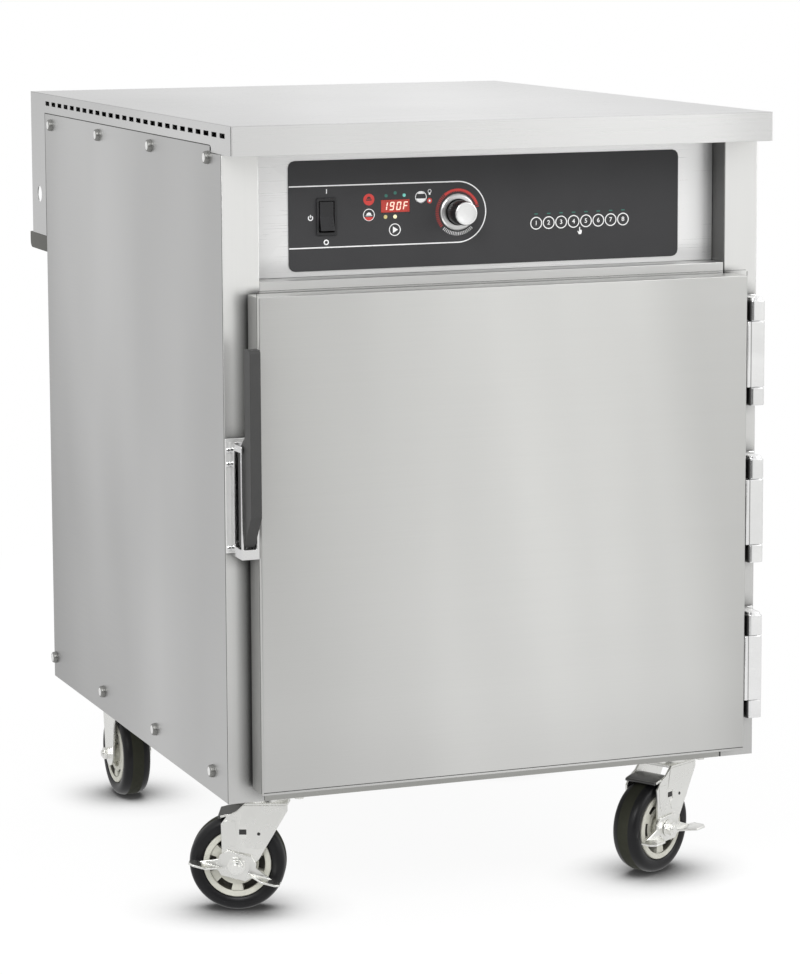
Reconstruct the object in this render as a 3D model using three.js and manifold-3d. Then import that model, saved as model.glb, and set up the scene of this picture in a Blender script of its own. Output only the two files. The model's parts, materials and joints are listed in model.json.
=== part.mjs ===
// A rethermalization cabinet on four casters, in millimetres.
// +Z is up, the door faces -Y and +X is to the right of someone facing the door.
// The origin is on the floor, under the middle of the outer box.

import * as THREE from 'three';
import { mergeVertices } from 'three/addons/utils/BufferGeometryUtils.js';
import Module from 'manifold-3d';

const wasm = await Module();
wasm.setup();

// Body shell.
const bodyWidth = 775;
const bodyDepth = 869;
const bodyHeight = 865.5;
const sheetGauge = 1.5;
const seatGap = 0.3;
const cutOverrun = 3;

// Top cover: a folded pan with a short return under its front, and two rear wings.
const coverHeight = 39.5;
const coverFrontOverhang = 45.5;
const coverRearOverhang = 80;
const skirtLobeLength = 47.5;
const skirtRelief = 9.8;
const skirtNotchRadius = 4.5;
const rearFlangeHeight = 22;
const ventCount = 26;
const ventLength = 22;
const ventHeight = 6.5;
const ventFrontInset = 40.9;
const ventRearInset = 96.1;
const ventDrop = 14.6;
const wingDrop = 217.5;
const wingHoleDiameter = 25;
const wingHoleSetback = 37.6;
const wingHoleDrop = 155.5;

// Rear bar: a shallow tray under the wings.
const barReach = 97.5;
const barHeight = 24.5;
const barGauge = 2;
const barCornerRadius = 10;

// Side panels and the cap screws that hold them.
const screwDiameter = 18;
const screwFaceDiameter = 12;
const screwProud = 6;
const screwRimHeight = 2.5;
const screwCount = 4;
const topScrewInset = 58.1;
const topScrewRearInset = 35.7;
const topScrewDrop = 6.7;
const lowScrewInset = 66.6;
const lowScrewRearInset = 9.5;
const lowScrewRise = 31;

// Front posts, control rail and base pan.
const postWidth = 50.5;
const postReturnDepth = 48;
const postOuterDepth = 40;
const railTopHeight = 697.3;
const railFaceHeight = 52.3;
const railLegDepth = 46;
const baseGauge = 2;
const sillHeight = 60;
const sillLegDepth = 44;

// Control fascia and overlay.
const fasciaRecess = 36;
const fasciaLip = 14;
const overlayWidth = 567.5;
const overlayHeight = 147;
const overlayRise = 7.7;
const overlayThickness = 1;
const overlayCornerRadius = 9;
const controlsDrop = 1.5;
const fitClearance = 0.3;

// Rocker switch.
const switchOffset = 231;
const bezelWidth = 27.7;
const bezelHeight = 49.2;
const bezelThickness = 2.4;
const bezelSleeveWall = 1.5;
const bezelSleeveDepth = 22;
const rockerWidth = 20;
const rockerHeight = 39;
const rockerEndProud = 6;
const rockerMiddleProud = 3;
const rockerBodyDepth = 6;
const rockerFootHeight = 22;
const rockerClearance = 1.2;
const rockerPivotDepth = 3;
const rockerTilt = THREE.MathUtils.degToRad(8);

// Display window.
const displayOffset = 132.6;
const displayRise = 11;
const displayWidth = 40.8;
const displayHeight = 17;

// Control knob.
const knobOffset = 43.2;
const dialRingDiameter = 50;
const dialRingThickness = 3;
const knobDiameter = 33.6;
const knobFrontDiameter = 32;
const knobReach = 35;
const knobShaftDiameter = 6;
const capDiameter = 31;
const capThickness = 3;
const capEdgeRadius = 0.8;

// Control board behind the fascia.
const boardOffset = 100;
const boardWidth = 210;
const boardHeight = 100;
const boardThickness = 2;
const boardStandoff = 12;
const standoffDiameter = 8;
const standoffInset = 10;
const encoderSize = 18;
const relayWidth = 40;
const relayHeight = 26;
const relayDepth = 22;
const relayPitch = 60;
const relayCount = 3;
const relayInset = 45;

// Door.
const doorLeftInset = 31.5;
const doorRightInset = 36.5;
const doorBottomLift = 20;
const doorTopGap = 14.6;
const doorStandoff = 49;
const doorThickness = 41;
const doorEdgeRadius = 3;
const linerGauge = 1.2;
const gasketWidth = 16;
const gasketInset = 4;

// Hinges on the right edge of the door.
const hingeHeight = 149;
const hingeLowCentre = 138;
const hingePitch = 219.5;
const hingeLowKnuckle = 25;
const hingeMiddleKnuckle = 92;
const hingeAxisInset = 16.2;
const hingeAxisDepth = 12;
const knuckleRadius = 11.7;
const knuckleGap = 0.5;
const hingePinRadius = 4;
const hingePlateThickness = 3;
const hingePlateReach = 18.5;
const hingeStripThickness = 4.2;
const hingeStripDepth = 28;
const hingeCapHeight = 4;
const hingeCapInset = 2.5;

// Door latch on the left edge.
const latchLowHeight = 338;
const latchHeight = 150;
const latchWidth = 24.7;
const latchGauge = 2.5;
const latchMountWall = 4.2;
const latchRunGap = 0.8;
const cupHeight = 13.5;
const latchWindowFrontMargin = 4;
const latchWindowRearMargin = 14;
const latchWindowTopMargin = 9;
const strikeWidth = 29;
const strikeHeight = 153;
const strikeLift = 2;
const strikeThickness = 2.5;
const handleWidth = 15;
const handleProud = 27.5;
const handleDepth = 24;
const handleTopHeight = 279.6;
const handleBendHeight = 60;
const handleFootHeight = 16;
const handleFootSetback = 3.5;
const handleBodyDepth = 25;
const handleBodyHeight = 140;
const handleShoulder = 23;
const handlePinRadius = 4;
const handlePinDepth = 14;
const handlePinHeight = 28;
const handleTipRadius = 5;

// Oven cavity.
const linerFlangeWidth = 20.5;
const rearInsulation = 58;
const rackPostWidth = 14;
const rackPostDepth = 20;
const rackFrontSetback = 90;
const rackPostSpacing = 430;
const ledgeWidth = 22;
const ledgeThickness = 2;
const ledgeLipHeight = 10;
const ledgeCount = 6;
const ledgePitch = 84;
const ledgeLowHeight = 50;
const ledgeFrontSetback = 42;
const ledgeLength = 560;
const shelfSideClearance = 3;
const shelfFrontSetback = 60;
const shelfDepth = 530;
const shelfBar = 5;
const shelfColumnCount = 11;
const shelfRowCount = 3;
const lowerShelfLedge = 2;
const upperShelfLedge = 4;

// Air baffle, fan, heating element and motor.
const baffleSetback = 96;
const baffleWidth = 596;
const baffleMargin = 12;
const baffleSlotHeight = 9;
const baffleSlotPitch = 20;
const baffleSlotCount = 7;
const baffleIntakeDiameter = 160;
const outletWidth = 14;
const outletHeight = 60;
const outletPitch = 84;
const outletCount = 5;
const outletInset = 36;
const fanDiameter = 168;
const fanDepth = 44;
const fanPlate = 2;
const fanBladeCount = 12;
const fanBladeLength = 22;
const fanHubDiameter = 26;
const fanShaftDiameter = 9;
const fanRearGap = 14;
const shaftHoleDiameter = 14;
const elementRingDiameter = 212;
const elementTubeDiameter = 9;
const elementSetback = 34;
const elementLegSpacing = 40;
const elementLegShare = 0.9;
const motorDiameter = 84;
const motorLength = 46;
const motorFlangeWidth = 110;
const motorFlangeThickness = 4;

// Cord inlet on the back panel.
const inletSideInset = 87.5;
const inletDrop = 136;
const inletFlangeDiameter = 40;
const inletFlangeThickness = 4;
const inletBarrelDiameter = 26;
const inletLength = 24;
const inletBoreDiameter = 11;
const inletBoreDepth = 20;

// Casters.
const casterHeight = 174;
const wheelDiameter = 132;
const treadWidth = 42;
const coreDiameter = 93;
const shoulderSetback = 9;
const shoulderDrop = 3;
const hubDiameter = 28;
const webInnerDiameter = 54;
const webOuterDiameter = 72;
const webThickness = 26;
const pocketFloor = 3;
const rimWidth = 40;
const corePocketCount = 6;
const corePocketShare = 0.38;
const boltDiameter = 10.4;
const boltHeadDiameter = 19;
const boltHeadHeight = 9;
const boltStub = 3;
const casterTrail = 42;
const casterSideInset = 87;
const casterFrontInset = 92;
const casterRearInset = 93;
const casterPlateWidth = 100;
const casterPlateLength = 114;
const casterPlateThickness = 4.5;
const plateCornerRadius = 6;
const plateBoltSpacingX = 60;
const plateBoltSpacingY = 86;
const plateBoltDiameter = 14;
const plateBoltHeight = 9;
const raceDiameter = 54;
const raceDepth = 6;
const crownDepth = 10;
const crownThickness = 3.5;
const kingpinDiameter = 12;
const kingpinNutDiameter = 19;
const kingpinNutHeight = 6;
const forkClearance = 4;
const legGauge = 3.2;
const forkFootRadius = 20;
const bandRadius = 69;
const bandThickness = 3;
const bandStartShare = 0.72;
const bandEndShare = 1.2;
const rearLegTopWidth = 70;
const leverGauge = 3;
const leverHubWidth = 52;
const leverHubHeight = 36;
const leverSpan = 128;
const leverPedalWidth = 26;
const leverPedalRoot = 18;
const leverPedalDrop = 8;
const leverArmRise = 7;
const leverArmDrop = 13;
const leftCasterYaw = THREE.MathUtils.degToRad(-23);
const rightCasterYaw = THREE.MathUtils.degToRad(29);
const leftLeverTilt = THREE.MathUtils.degToRad(14);
const rightLeverTilt = THREE.MathUtils.degToRad(-2);

// The outline of a swivel fork's leg about the axle: shares of the trail and of the height of the crown.
const forkLegShares = [
  [0.72, 0.09],
  [1.67, 0.88],
  [1.67, 1],
  [0.3, 1],
  [0.02, 0.87],
  [-0.3, 0.79],
  [-0.5, 0.66],
  [-0.48, 0.23],
];

// Facet counts.
const tyreSides = 32;
const fineSides = 24;
const mediumSides = 20;
const smallSides = 12;
const screwSides = 10;
const hexSides = 6;
const cornerSteps = 3;

// Where the main faces lie.
const sideX = bodyWidth / 2;
const overallDepth = handleProud + doorStandoff + bodyDepth + barReach;
const frontY = handleProud + doorStandoff - overallDepth / 2;
const rearY = frontY + bodyDepth;
const baseZ = casterHeight;
const skirtZ = baseZ + bodyHeight;
const topZ = skirtZ + coverHeight;
const innerX = sideX - sheetGauge - seatGap;
const openingX = sideX - postWidth;
const railTopZ = baseZ + railTopHeight;
const railBottomZ = railTopZ - railFaceHeight;
const sillZ = baseZ + sillHeight;
const fasciaY = frontY + fasciaRecess;
const overlayFrontDepth = seatGap + overlayThickness;
const overlayBottomZ = railTopZ + overlayRise;
const controlsZ = overlayBottomZ + overlayHeight / 2 - controlsDrop;
const doorLeftX = -sideX + doorLeftInset;
const doorRightX = sideX - doorRightInset;
const doorWidth = doorRightX - doorLeftX;
const doorBottomZ = baseZ + doorBottomLift;
const doorHeight = railTopZ - doorTopGap - doorBottomZ;
const doorFrontY = frontY - doorStandoff;
const linerX = openingX - seatGap - linerFlangeWidth;
const linerLowZ = sillZ + seatGap + linerFlangeWidth;
const linerHighZ = railBottomZ - seatGap - linerFlangeWidth;
const linerRearY = rearY - rearInsulation;
const cavityX = linerX - linerGauge;
const cavityFloorZ = linerLowZ + linerGauge;
const cavityTopZ = linerHighZ - linerGauge;
const cavityRearY = linerRearY - linerGauge;
const fanZ = (cavityFloorZ + cavityTopZ) / 2;
const wheelRadius = wheelDiameter / 2;
const plateTopZ = baseZ - seatGap;
const axleDrop = plateTopZ - wheelRadius;
const raceBottom = -casterPlateThickness - raceDepth;
const crownTop = raceBottom - seatGap - crownDepth;
const crownBottom = crownTop - crownThickness;
const forkInnerHalf = treadWidth / 2 + forkClearance;
const forkOuterHalf = forkInnerHalf + legGauge;

// Materials, with the colours of the photograph.
const brushedSteel = finish(0xc6c6c4, 0.36, 0.9);
const paleSteel = finish(0xd8d8d6, 0.32, 0.9);
const dullSteel = finish(0x8f8f86, 0.5, 0.8);
const chrome = finish(0xe4e4e4, 0.12, 1);
const zinc = finish(0xd2d2ce, 0.28, 0.9);
const spunAluminium = finish(0xdcdcdc, 0.25, 0.95);
const overlayBlack = finish(0x444446, 0.55, 0);
const glossBlack = finish(0x1a1a1b, 0.3, 0);
const handleBlack = finish(0x4a4a48, 0.6, 0);
const displayRed = finish(0xd23a2c, 0.25, 0);
const tyreGrey = finish(0x3c3c40, 0.6, 0);
const coreCream = finish(0xcfccb8, 0.5, 0);
const gasketBlack = finish(0x262626, 0.8, 0);
const insulationTan = finish(0xc9b98a, 0.95, 0);
const boardGreen = finish(0x2c5a3a, 0.6, 0);
const motorGrey = finish(0x6c6e70, 0.5, 0.6);

function finish(color, roughness, metalness) {
  return new THREE.MeshStandardMaterial({ color, roughness, metalness, flatShading: true });
}

// A closed three.js geometry as a solid that can be joined and cut.
function solidOf(geometry) {
  geometry.deleteAttribute('normal');
  geometry.deleteAttribute('uv');
  const merged = mergeVertices(geometry);
  const corners = merged.index.array;
  const kept = [];
  for (let i = 0; i < corners.length; i += 3) {
    const [a, b, c] = [corners[i], corners[i + 1], corners[i + 2]];
    if (a !== b && b !== c && c !== a) kept.push(a, b, c);
  }
  const mesh = new wasm.Mesh({
    numProp: 3,
    vertProperties: new Float32Array(merged.attributes.position.array),
    triVerts: new Uint32Array(kept),
  });
  return new wasm.Manifold(mesh);
}

// A box between two corners.
function block(x0, x1, y0, y1, z0, z1) {
  const geometry = new THREE.BoxGeometry(x1 - x0, y1 - y0, z1 - z0);
  geometry.translate((x0 + x1) / 2, (y0 + y1) / 2, (z0 + z1) / 2);
  return solidOf(geometry);
}

function shapeOf(points) {
  return new THREE.Shape(points.map(([a, b]) => new THREE.Vector2(a, b)));
}

function extruded(shape, length) {
  return new THREE.ExtrudeGeometry(shape, {
    depth: length,
    bevelEnabled: false,
    curveSegments: cornerSteps,
  });
}

// An outline of x and y, extruded up.
function prismZ(points, z0, z1) {
  const geometry = extruded(shapeOf(points), z1 - z0);
  geometry.translate(0, 0, z0);
  return solidOf(geometry);
}

// An outline of x and z, extruded along y.
function prismY(points, y0, y1) {
  const geometry = extruded(shapeOf(points), y1 - y0);
  geometry.rotateX(Math.PI / 2);
  geometry.translate(0, y1, 0);
  return solidOf(geometry);
}

// An outline of y and z, extruded along x.
function prismX(points, x0, x1) {
  const geometry = extruded(shapeOf(points), x1 - x0);
  const turn = new THREE.Matrix4();
  turn.set(0, 0, 1, 0, 1, 0, 0, 0, 0, 1, 0, 0, 0, 0, 0, 1);
  geometry.applyMatrix4(turn);
  geometry.translate(x0, 0, 0);
  return solidOf(geometry);
}

// The points of a circle or an arc about a centre, from one angle to another.
function arc(centreA, centreB, radius, from, to, steps) {
  const points = [];
  for (let i = 0; i <= steps; i += 1) {
    const angle = from + ((to - from) * i) / steps;
    points.push([centreA + radius * Math.cos(angle), centreB + radius * Math.sin(angle)]);
  }
  return points;
}

function circle(centreA, centreB, diameter, sides) {
  return arc(centreA, centreB, diameter / 2, 0, Math.PI * 2, sides).slice(0, sides);
}

// A rectangle about a centre, with round corners.
function roundedBox(centreA, centreB, width, height, radius) {
  const a = width / 2 - radius;
  const b = height / 2 - radius;
  const quarter = Math.PI / 2;
  return [
    ...arc(centreA + a, centreB + b, radius, 0, quarter, cornerSteps),
    ...arc(centreA - a, centreB + b, radius, quarter, quarter * 2, cornerSteps),
    ...arc(centreA - a, centreB - b, radius, quarter * 2, quarter * 3, cornerSteps),
    ...arc(centreA + a, centreB - b, radius, quarter * 3, quarter * 4, cornerSteps),
  ];
}

// Rods and discs along each axis.
function rodX(y, z, diameter, x0, x1, sides) {
  return prismX(circle(y, z, diameter, sides), x0, x1);
}

function rodY(x, z, diameter, y0, y1, sides) {
  return prismY(circle(x, z, diameter, sides), y0, y1);
}

function rodZ(x, y, diameter, z0, z1, sides) {
  return prismZ(circle(x, y, diameter, sides), z0, z1);
}

// A profile of radius and place along y, turned about the y axis.
function turnedY(profile, sides) {
  const points = profile.map(([r, y]) => new THREE.Vector2(r, y));
  points.push(points[0].clone());
  if (THREE.ShapeUtils.area(points) < 0) points.reverse();
  return solidOf(new THREE.LatheGeometry(points, sides));
}

function mirrored(points) {
  return points.map(([a, b]) => [-a, b]);
}

function joined(solids) {
  return solids.reduce((whole, next) => whole.add(next));
}

function cut(whole, solids) {
  return solids.reduce((rest, next) => rest.subtract(next), whole);
}

// Adds a named mesh of a solid to a group.
function addPiece(group, name, solid, material) {
  const raw = solid.getMesh();
  const geometry = new THREE.BufferGeometry();
  geometry.setAttribute('position', new THREE.BufferAttribute(raw.vertProperties, 3));
  geometry.setIndex(new THREE.BufferAttribute(raw.triVerts, 1));
  geometry.computeVertexNormals();
  const mesh = new THREE.Mesh(geometry, material);
  mesh.name = name;
  group.add(mesh);
  return mesh;
}

function addGroup(parent, x, y, z) {
  const group = new THREE.Group();
  group.position.set(x, y, z);
  parent.add(group);
  return group;
}

// Top cover.
function makeTopCover() {
  const front = frontY - coverFrontOverhang;
  const rear = rearY + coverRearOverhang;
  const ventPitch = (rear - front - ventFrontInset - ventRearInset) / (ventCount - 1);
  const inX = sideX - sheetGauge;
  const returnY = frontY + skirtLobeLength;
  const reliefZ = skirtZ + skirtRelief;
  const shell = block(-sideX, sideX, front, rear, skirtZ, topZ);
  const hollow = block(
    -inX,
    inX,
    front + sheetGauge,
    rear - sheetGauge,
    skirtZ + sheetGauge,
    topZ - sheetGauge,
  );
  const mouth = block(-inX, inX, returnY, rear - sheetGauge, skirtZ - cutOverrun, topZ - sheetGauge);
  const flangeZ = topZ - rearFlangeHeight;
  const rearCut = block(
    -inX,
    inX,
    rear - sheetGauge - cutOverrun,
    rear + cutOverrun,
    skirtZ - cutOverrun,
    flangeZ,
  );
  const relief = block(
    -sideX - cutOverrun,
    sideX + cutOverrun,
    returnY,
    rearY + seatGap,
    skirtZ - cutOverrun,
    reliefZ,
  );
  const notch = rodX(
    returnY,
    reliefZ - skirtNotchRadius,
    skirtNotchRadius * 2,
    -sideX - cutOverrun,
    sideX + cutOverrun,
    smallSides,
  );
  const vents = [];
  for (let i = 0; i < ventCount; i += 1) {
    const y = front + ventFrontInset + ventPitch * i;
    const z = topZ - ventDrop;
    const halfLength = ventLength / 2;
    const halfHeight = ventHeight / 2;
    vents.push(block(
      -sideX - cutOverrun,
      sideX + cutOverrun,
      y - halfLength,
      y + halfLength,
      z - halfHeight,
      z + halfHeight,
    ));
  }
  const wings = [-1, 1].map((side) => {
    const x = side * (sideX - sheetGauge / 2);
    const half = sheetGauge / 2;
    return block(x - half, x + half, rearY + seatGap, rear, topZ - wingDrop, topZ - sheetGauge);
  });
  const hole = rodX(
    rearY + wingHoleSetback,
    topZ - wingHoleDrop,
    wingHoleDiameter,
    -sideX - cutOverrun,
    sideX + cutOverrun,
    mediumSides,
  );
  const pan = cut(shell, [hollow, mouth, rearCut, relief, notch]);
  return cut(joined([pan, ...wings]), [...vents, hole]);
}

// Rear bar.
function trayProfile(front, rear, low, high, radius) {
  const corner = arc(rear - radius, low + radius, radius, 0, -Math.PI / 2, cornerSteps);
  return [[front, high], [rear, high], ...corner, [front, low]];
}

function makeRearBar() {
  const front = rearY + seatGap;
  const rear = rearY + barReach;
  const high = topZ - wingDrop - seatGap;
  const low = high - barHeight;
  const outer = prismX(trayProfile(front, rear, low, high, barCornerRadius), -sideX, sideX);
  const innerProfile = trayProfile(
    front + barGauge,
    rear - barGauge,
    low + barGauge,
    high + cutOverrun,
    barCornerRadius - barGauge,
  );
  return outer.subtract(prismX(innerProfile, -sideX + barGauge, sideX - barGauge));
}

// A side panel with its cap screws. The side is -1 on the left and 1 on the right.
function makeSidePanel(side) {
  const lowEdge = skirtZ - seatGap;
  const highEdge = skirtZ + skirtRelief - seatGap;
  const front = frontY + sheetGauge + seatGap;
  const step = frontY + skirtLobeLength + seatGap;
  const outline = [
    [front, baseZ],
    [rearY, baseZ],
    [rearY, highEdge],
    [step, highEdge],
    [step, lowEdge],
    [front, lowEdge],
  ];
  const x0 = sideX - sheetGauge;
  const topPitch = (bodyDepth - topScrewInset - topScrewRearInset) / (screwCount - 1);
  const lowPitch = (bodyDepth - lowScrewInset - lowScrewRearInset) / (screwCount - 1);
  const rightAngle = THREE.MathUtils.radToDeg(Math.PI / 2);
  let panel = prismX(outline, x0, sideX);
  for (let i = 0; i < screwCount; i += 1) {
    const places = [
      [frontY + topScrewInset + topPitch * i, skirtZ - topScrewDrop],
      [frontY + lowScrewInset + lowPitch * i, baseZ + lowScrewRise],
    ];
    for (const [y, z] of places) {
      const head = turnedY(
        [
          [0, 0],
          [screwDiameter / 2, 0],
          [screwDiameter / 2, screwRimHeight],
          [screwFaceDiameter / 2, screwProud],
          [0, screwProud],
        ],
        screwSides,
      );
      const placed = head.rotate([0, 0, -rightAngle]).translate([sideX, y, z]);
      panel = panel.add(placed);
    }
  }
  return side > 0 ? panel : panel.mirror([1, 0, 0]);
}

function makeBackPanel() {
  return block(
    -innerX,
    innerX,
    rearY - sheetGauge,
    rearY,
    baseZ + baseGauge + seatGap,
    topZ - sheetGauge - seatGap,
  );
}

// A front post: a channel whose front face is seen, with its two legs turned back.
function postOutline() {
  const legX = innerX;
  return [
    [openingX, frontY],
    [sideX, frontY],
    [sideX, frontY + sheetGauge],
    [legX, frontY + sheetGauge],
    [legX, frontY + postOuterDepth],
    [legX - sheetGauge, frontY + postOuterDepth],
    [legX - sheetGauge, frontY + sheetGauge],
    [openingX + sheetGauge, frontY + sheetGauge],
    [openingX + sheetGauge, frontY + postReturnDepth],
    [openingX, frontY + postReturnDepth],
  ];
}

function makePost(side) {
  const outline = side > 0 ? postOutline() : mirrored(postOutline());
  return prismZ(outline, baseZ, skirtZ - seatGap);
}

// A channel across the opening, open to the back: front face with a top and a bottom leg.
function channel(halfWidth, y, low, high, legDepth, gauge) {
  const outline = [
    [y, low],
    [y + legDepth, low],
    [y + legDepth, low + gauge],
    [y + gauge, low + gauge],
    [y + gauge, high - gauge],
    [y + legDepth, high - gauge],
    [y + legDepth, high],
    [y, high],
  ];
  return prismX(outline, -halfWidth, halfWidth);
}

function makeControlRail() {
  return channel(openingX - seatGap, frontY, railBottomZ, railTopZ, railLegDepth, sheetGauge);
}

// The base pan with the sill under the door.
function makeBasePan() {
  const rear = rearY;
  const plate = block(-innerX, innerX, frontY + sheetGauge, rear, baseZ, baseZ + baseGauge);
  const sill = channel(openingX - seatGap, frontY, baseZ, sillZ, sillLegDepth, sheetGauge);
  const postSpace = [-1, 1].map((side) => {
    const near = side * (openingX - seatGap);
    const far = side * (sideX + cutOverrun);
    const back = frontY + postReturnDepth + seatGap;
    return block(
      Math.min(near, far),
      Math.max(near, far),
      frontY - cutOverrun,
      back,
      baseZ - cutOverrun,
      sillZ + cutOverrun,
    );
  });
  return cut(plate.add(sill), postSpace);
}

// Control fascia, with openings for the switch, the display and the knob shaft.
function switchSleeve(extra) {
  const width = rockerWidth + (rockerClearance + bezelSleeveWall) * 2 - fitClearance * 2 + extra;
  const height = rockerHeight + (rockerClearance + bezelSleeveWall) * 2 + extra;
  return { width, height };
}

function panelOpenings(y0, y1) {
  const sleeve = switchSleeve(fitClearance * 2);
  const display = [displayWidth + fitClearance * 2, displayHeight + fitClearance * 2];
  const switchHole = block(
    -switchOffset - sleeve.width / 2,
    -switchOffset + sleeve.width / 2,
    y0,
    y1,
    controlsZ - sleeve.height / 2,
    controlsZ + sleeve.height / 2,
  );
  const displayHole = block(
    -displayOffset - display[0] / 2,
    -displayOffset + display[0] / 2,
    y0,
    y1,
    controlsZ + displayRise - display[1] / 2,
    controlsZ + displayRise + display[1] / 2,
  );
  const shaftHole = rodY(-knobOffset, controlsZ, knobShaftDiameter + fitClearance * 4, y0, y1, smallSides);
  return [switchHole, displayHole, shaftHole];
}

function makeFascia() {
  const low = railTopZ + seatGap;
  const high = skirtZ - seatGap;
  const plate = channel(openingX - seatGap, fasciaY, low, high, fasciaLip, sheetGauge);
  return cut(plate, panelOpenings(fasciaY - cutOverrun, fasciaY + sheetGauge + cutOverrun));
}

function makeOverlay() {
  const outline = roundedBox(
    0,
    overlayBottomZ + overlayHeight / 2,
    overlayWidth,
    overlayHeight,
    overlayCornerRadius,
  );
  const back = fasciaY - seatGap;
  const front = back - overlayThickness;
  return cut(prismY(outline, front, back), panelOpenings(front - cutOverrun, back + cutOverrun));
}

// Pieces on the control fascia, measured from the fascia's front face at the knob's height.
function addControls(root) {
  const controls = addGroup(root, 0, fasciaY, controlsZ);
  const overlayFront = -overlayFrontDepth;

  const switchGroup = addGroup(controls, -switchOffset, 0, 0);
  const sleeve = switchSleeve(0);
  const inner = [rockerWidth + rockerClearance * 2 - fitClearance * 2, rockerHeight + rockerClearance * 2];
  const plateBack = overlayFront - seatGap;
  const plateFront = plateBack - bezelThickness;
  const bezelPlate = block(
    -bezelWidth / 2,
    bezelWidth / 2,
    plateFront,
    plateBack,
    -bezelHeight / 2,
    bezelHeight / 2,
  );
  const sleeveBlock = block(
    -sleeve.width / 2,
    sleeve.width / 2,
    plateFront,
    bezelSleeveDepth,
    -sleeve.height / 2,
    sleeve.height / 2,
  );
  const well = block(
    -inner[0] / 2,
    inner[0] / 2,
    plateFront - cutOverrun,
    bezelSleeveDepth - bezelSleeveWall,
    -inner[1] / 2,
    inner[1] / 2,
  );
  addPiece(switchGroup, 'switch_bezel', bezelPlate.add(sleeveBlock).subtract(well), glossBlack);

  const rocker = addGroup(switchGroup, 0, plateFront + rockerPivotDepth, 0);
  rocker.rotation.x = -rockerTilt;
  const halfRocker = rockerHeight / 2;
  const foot = rockerFootHeight / 2;
  const rockerOutline = [
    [-rockerEndProud, halfRocker],
    [-rockerMiddleProud, 0],
    [-rockerEndProud, -halfRocker],
    [0, -halfRocker + rockerMiddleProud / 2],
    [rockerBodyDepth, -foot],
    [rockerBodyDepth, foot],
    [0, halfRocker - rockerMiddleProud / 2],
  ];
  const pinReach = inner[0] / 2 - seatGap;
  const rockerPin = rodX(0, 0, rockerMiddleProud, -pinReach, pinReach, hexSides);
  const rockerSolid = prismX(
    rockerOutline,
    -rockerWidth / 2 + fitClearance,
    rockerWidth / 2 - fitClearance,
  );
  addPiece(rocker, 'switch_rocker', rockerSolid.add(rockerPin), glossBlack);

  const display = addGroup(controls, -displayOffset, 0, displayRise);
  const windowSolid = block(
    -displayWidth / 2,
    displayWidth / 2,
    overlayFront,
    sheetGauge,
    -displayHeight / 2,
    displayHeight / 2,
  );
  addPiece(display, 'display_window', windowSolid, displayRed);

  const knob = addGroup(controls, -knobOffset, 0, 0);
  const ringBack = overlayFront - seatGap;
  const ringFront = ringBack - dialRingThickness;
  const ringBore = knobDiameter + fitClearance * 4;
  const ring = turnedY(
    [
      [ringBore / 2, ringBack],
      [dialRingDiameter / 2, ringBack],
      [dialRingDiameter / 2, ringFront + dialRingThickness / 2],
      [dialRingDiameter / 2 - dialRingThickness / 2, ringFront],
      [ringBore / 2, ringFront],
    ],
    fineSides,
  );
  addPiece(knob, 'dial_ring', ring, spunAluminium);
  const knobFront = -knobReach + capThickness + seatGap;
  const shaftEnd = sheetGauge + boardStandoff - encoderSize / 2 - seatGap;
  const knobSolid = turnedY(
    [
      [0, ringBack],
      [knobDiameter / 2, ringBack],
      [knobFrontDiameter / 2, knobFront],
      [0, knobFront],
    ],
    fineSides,
  );
  const shaft = rodY(0, 0, knobShaftDiameter, ringBack - sheetGauge, shaftEnd, smallSides);
  addPiece(knob, 'control_knob', knobSolid.add(shaft), glossBlack);
  const cap = turnedY(
    [
      [0, -knobReach + capThickness],
      [capDiameter / 2, -knobReach + capThickness],
      [capDiameter / 2, -knobReach + capEdgeRadius],
      [capDiameter / 2 - capEdgeRadius, -knobReach],
      [0, -knobReach],
    ],
    fineSides,
  );
  addPiece(knob, 'knob_cap', cap, spunAluminium);
}

// The control board on its standoffs behind the fascia, with relays on its back.
function makeControlBoard() {
  const fasciaBack = fasciaY + sheetGauge;
  const front = fasciaBack + seatGap + boardStandoff;
  const back = front + boardThickness;
  const x0 = -boardOffset - boardWidth / 2;
  const x1 = x0 + boardWidth;
  const z0 = controlsZ - boardHeight / 2;
  const z1 = z0 + boardHeight;
  const parts = [block(x0, x1, front, back, z0, z1)];
  for (const x of [x0 + standoffInset, x1 - standoffInset]) {
    for (const z of [z0 + standoffInset, z1 - standoffInset]) {
      parts.push(rodY(x, z, standoffDiameter, fasciaBack + seatGap, front + boardThickness / 2, hexSides));
    }
  }
  const half = encoderSize / 2;
  const encoderFront = fasciaBack + boardStandoff - encoderSize / 2;
  parts.push(block(
    -knobOffset - half,
    -knobOffset + half,
    encoderFront,
    front + boardThickness / 2,
    controlsZ - half,
    controlsZ + half,
  ));
  for (let i = 0; i < relayCount; i += 1) {
    const x = x0 + relayInset + relayPitch * i;
    parts.push(block(
      x - relayWidth / 2,
      x + relayWidth / 2,
      back - boardThickness / 2,
      back + relayDepth,
      controlsZ - relayHeight / 2,
      controlsZ + relayHeight / 2,
    ));
  }
  return joined(parts);
}

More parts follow.
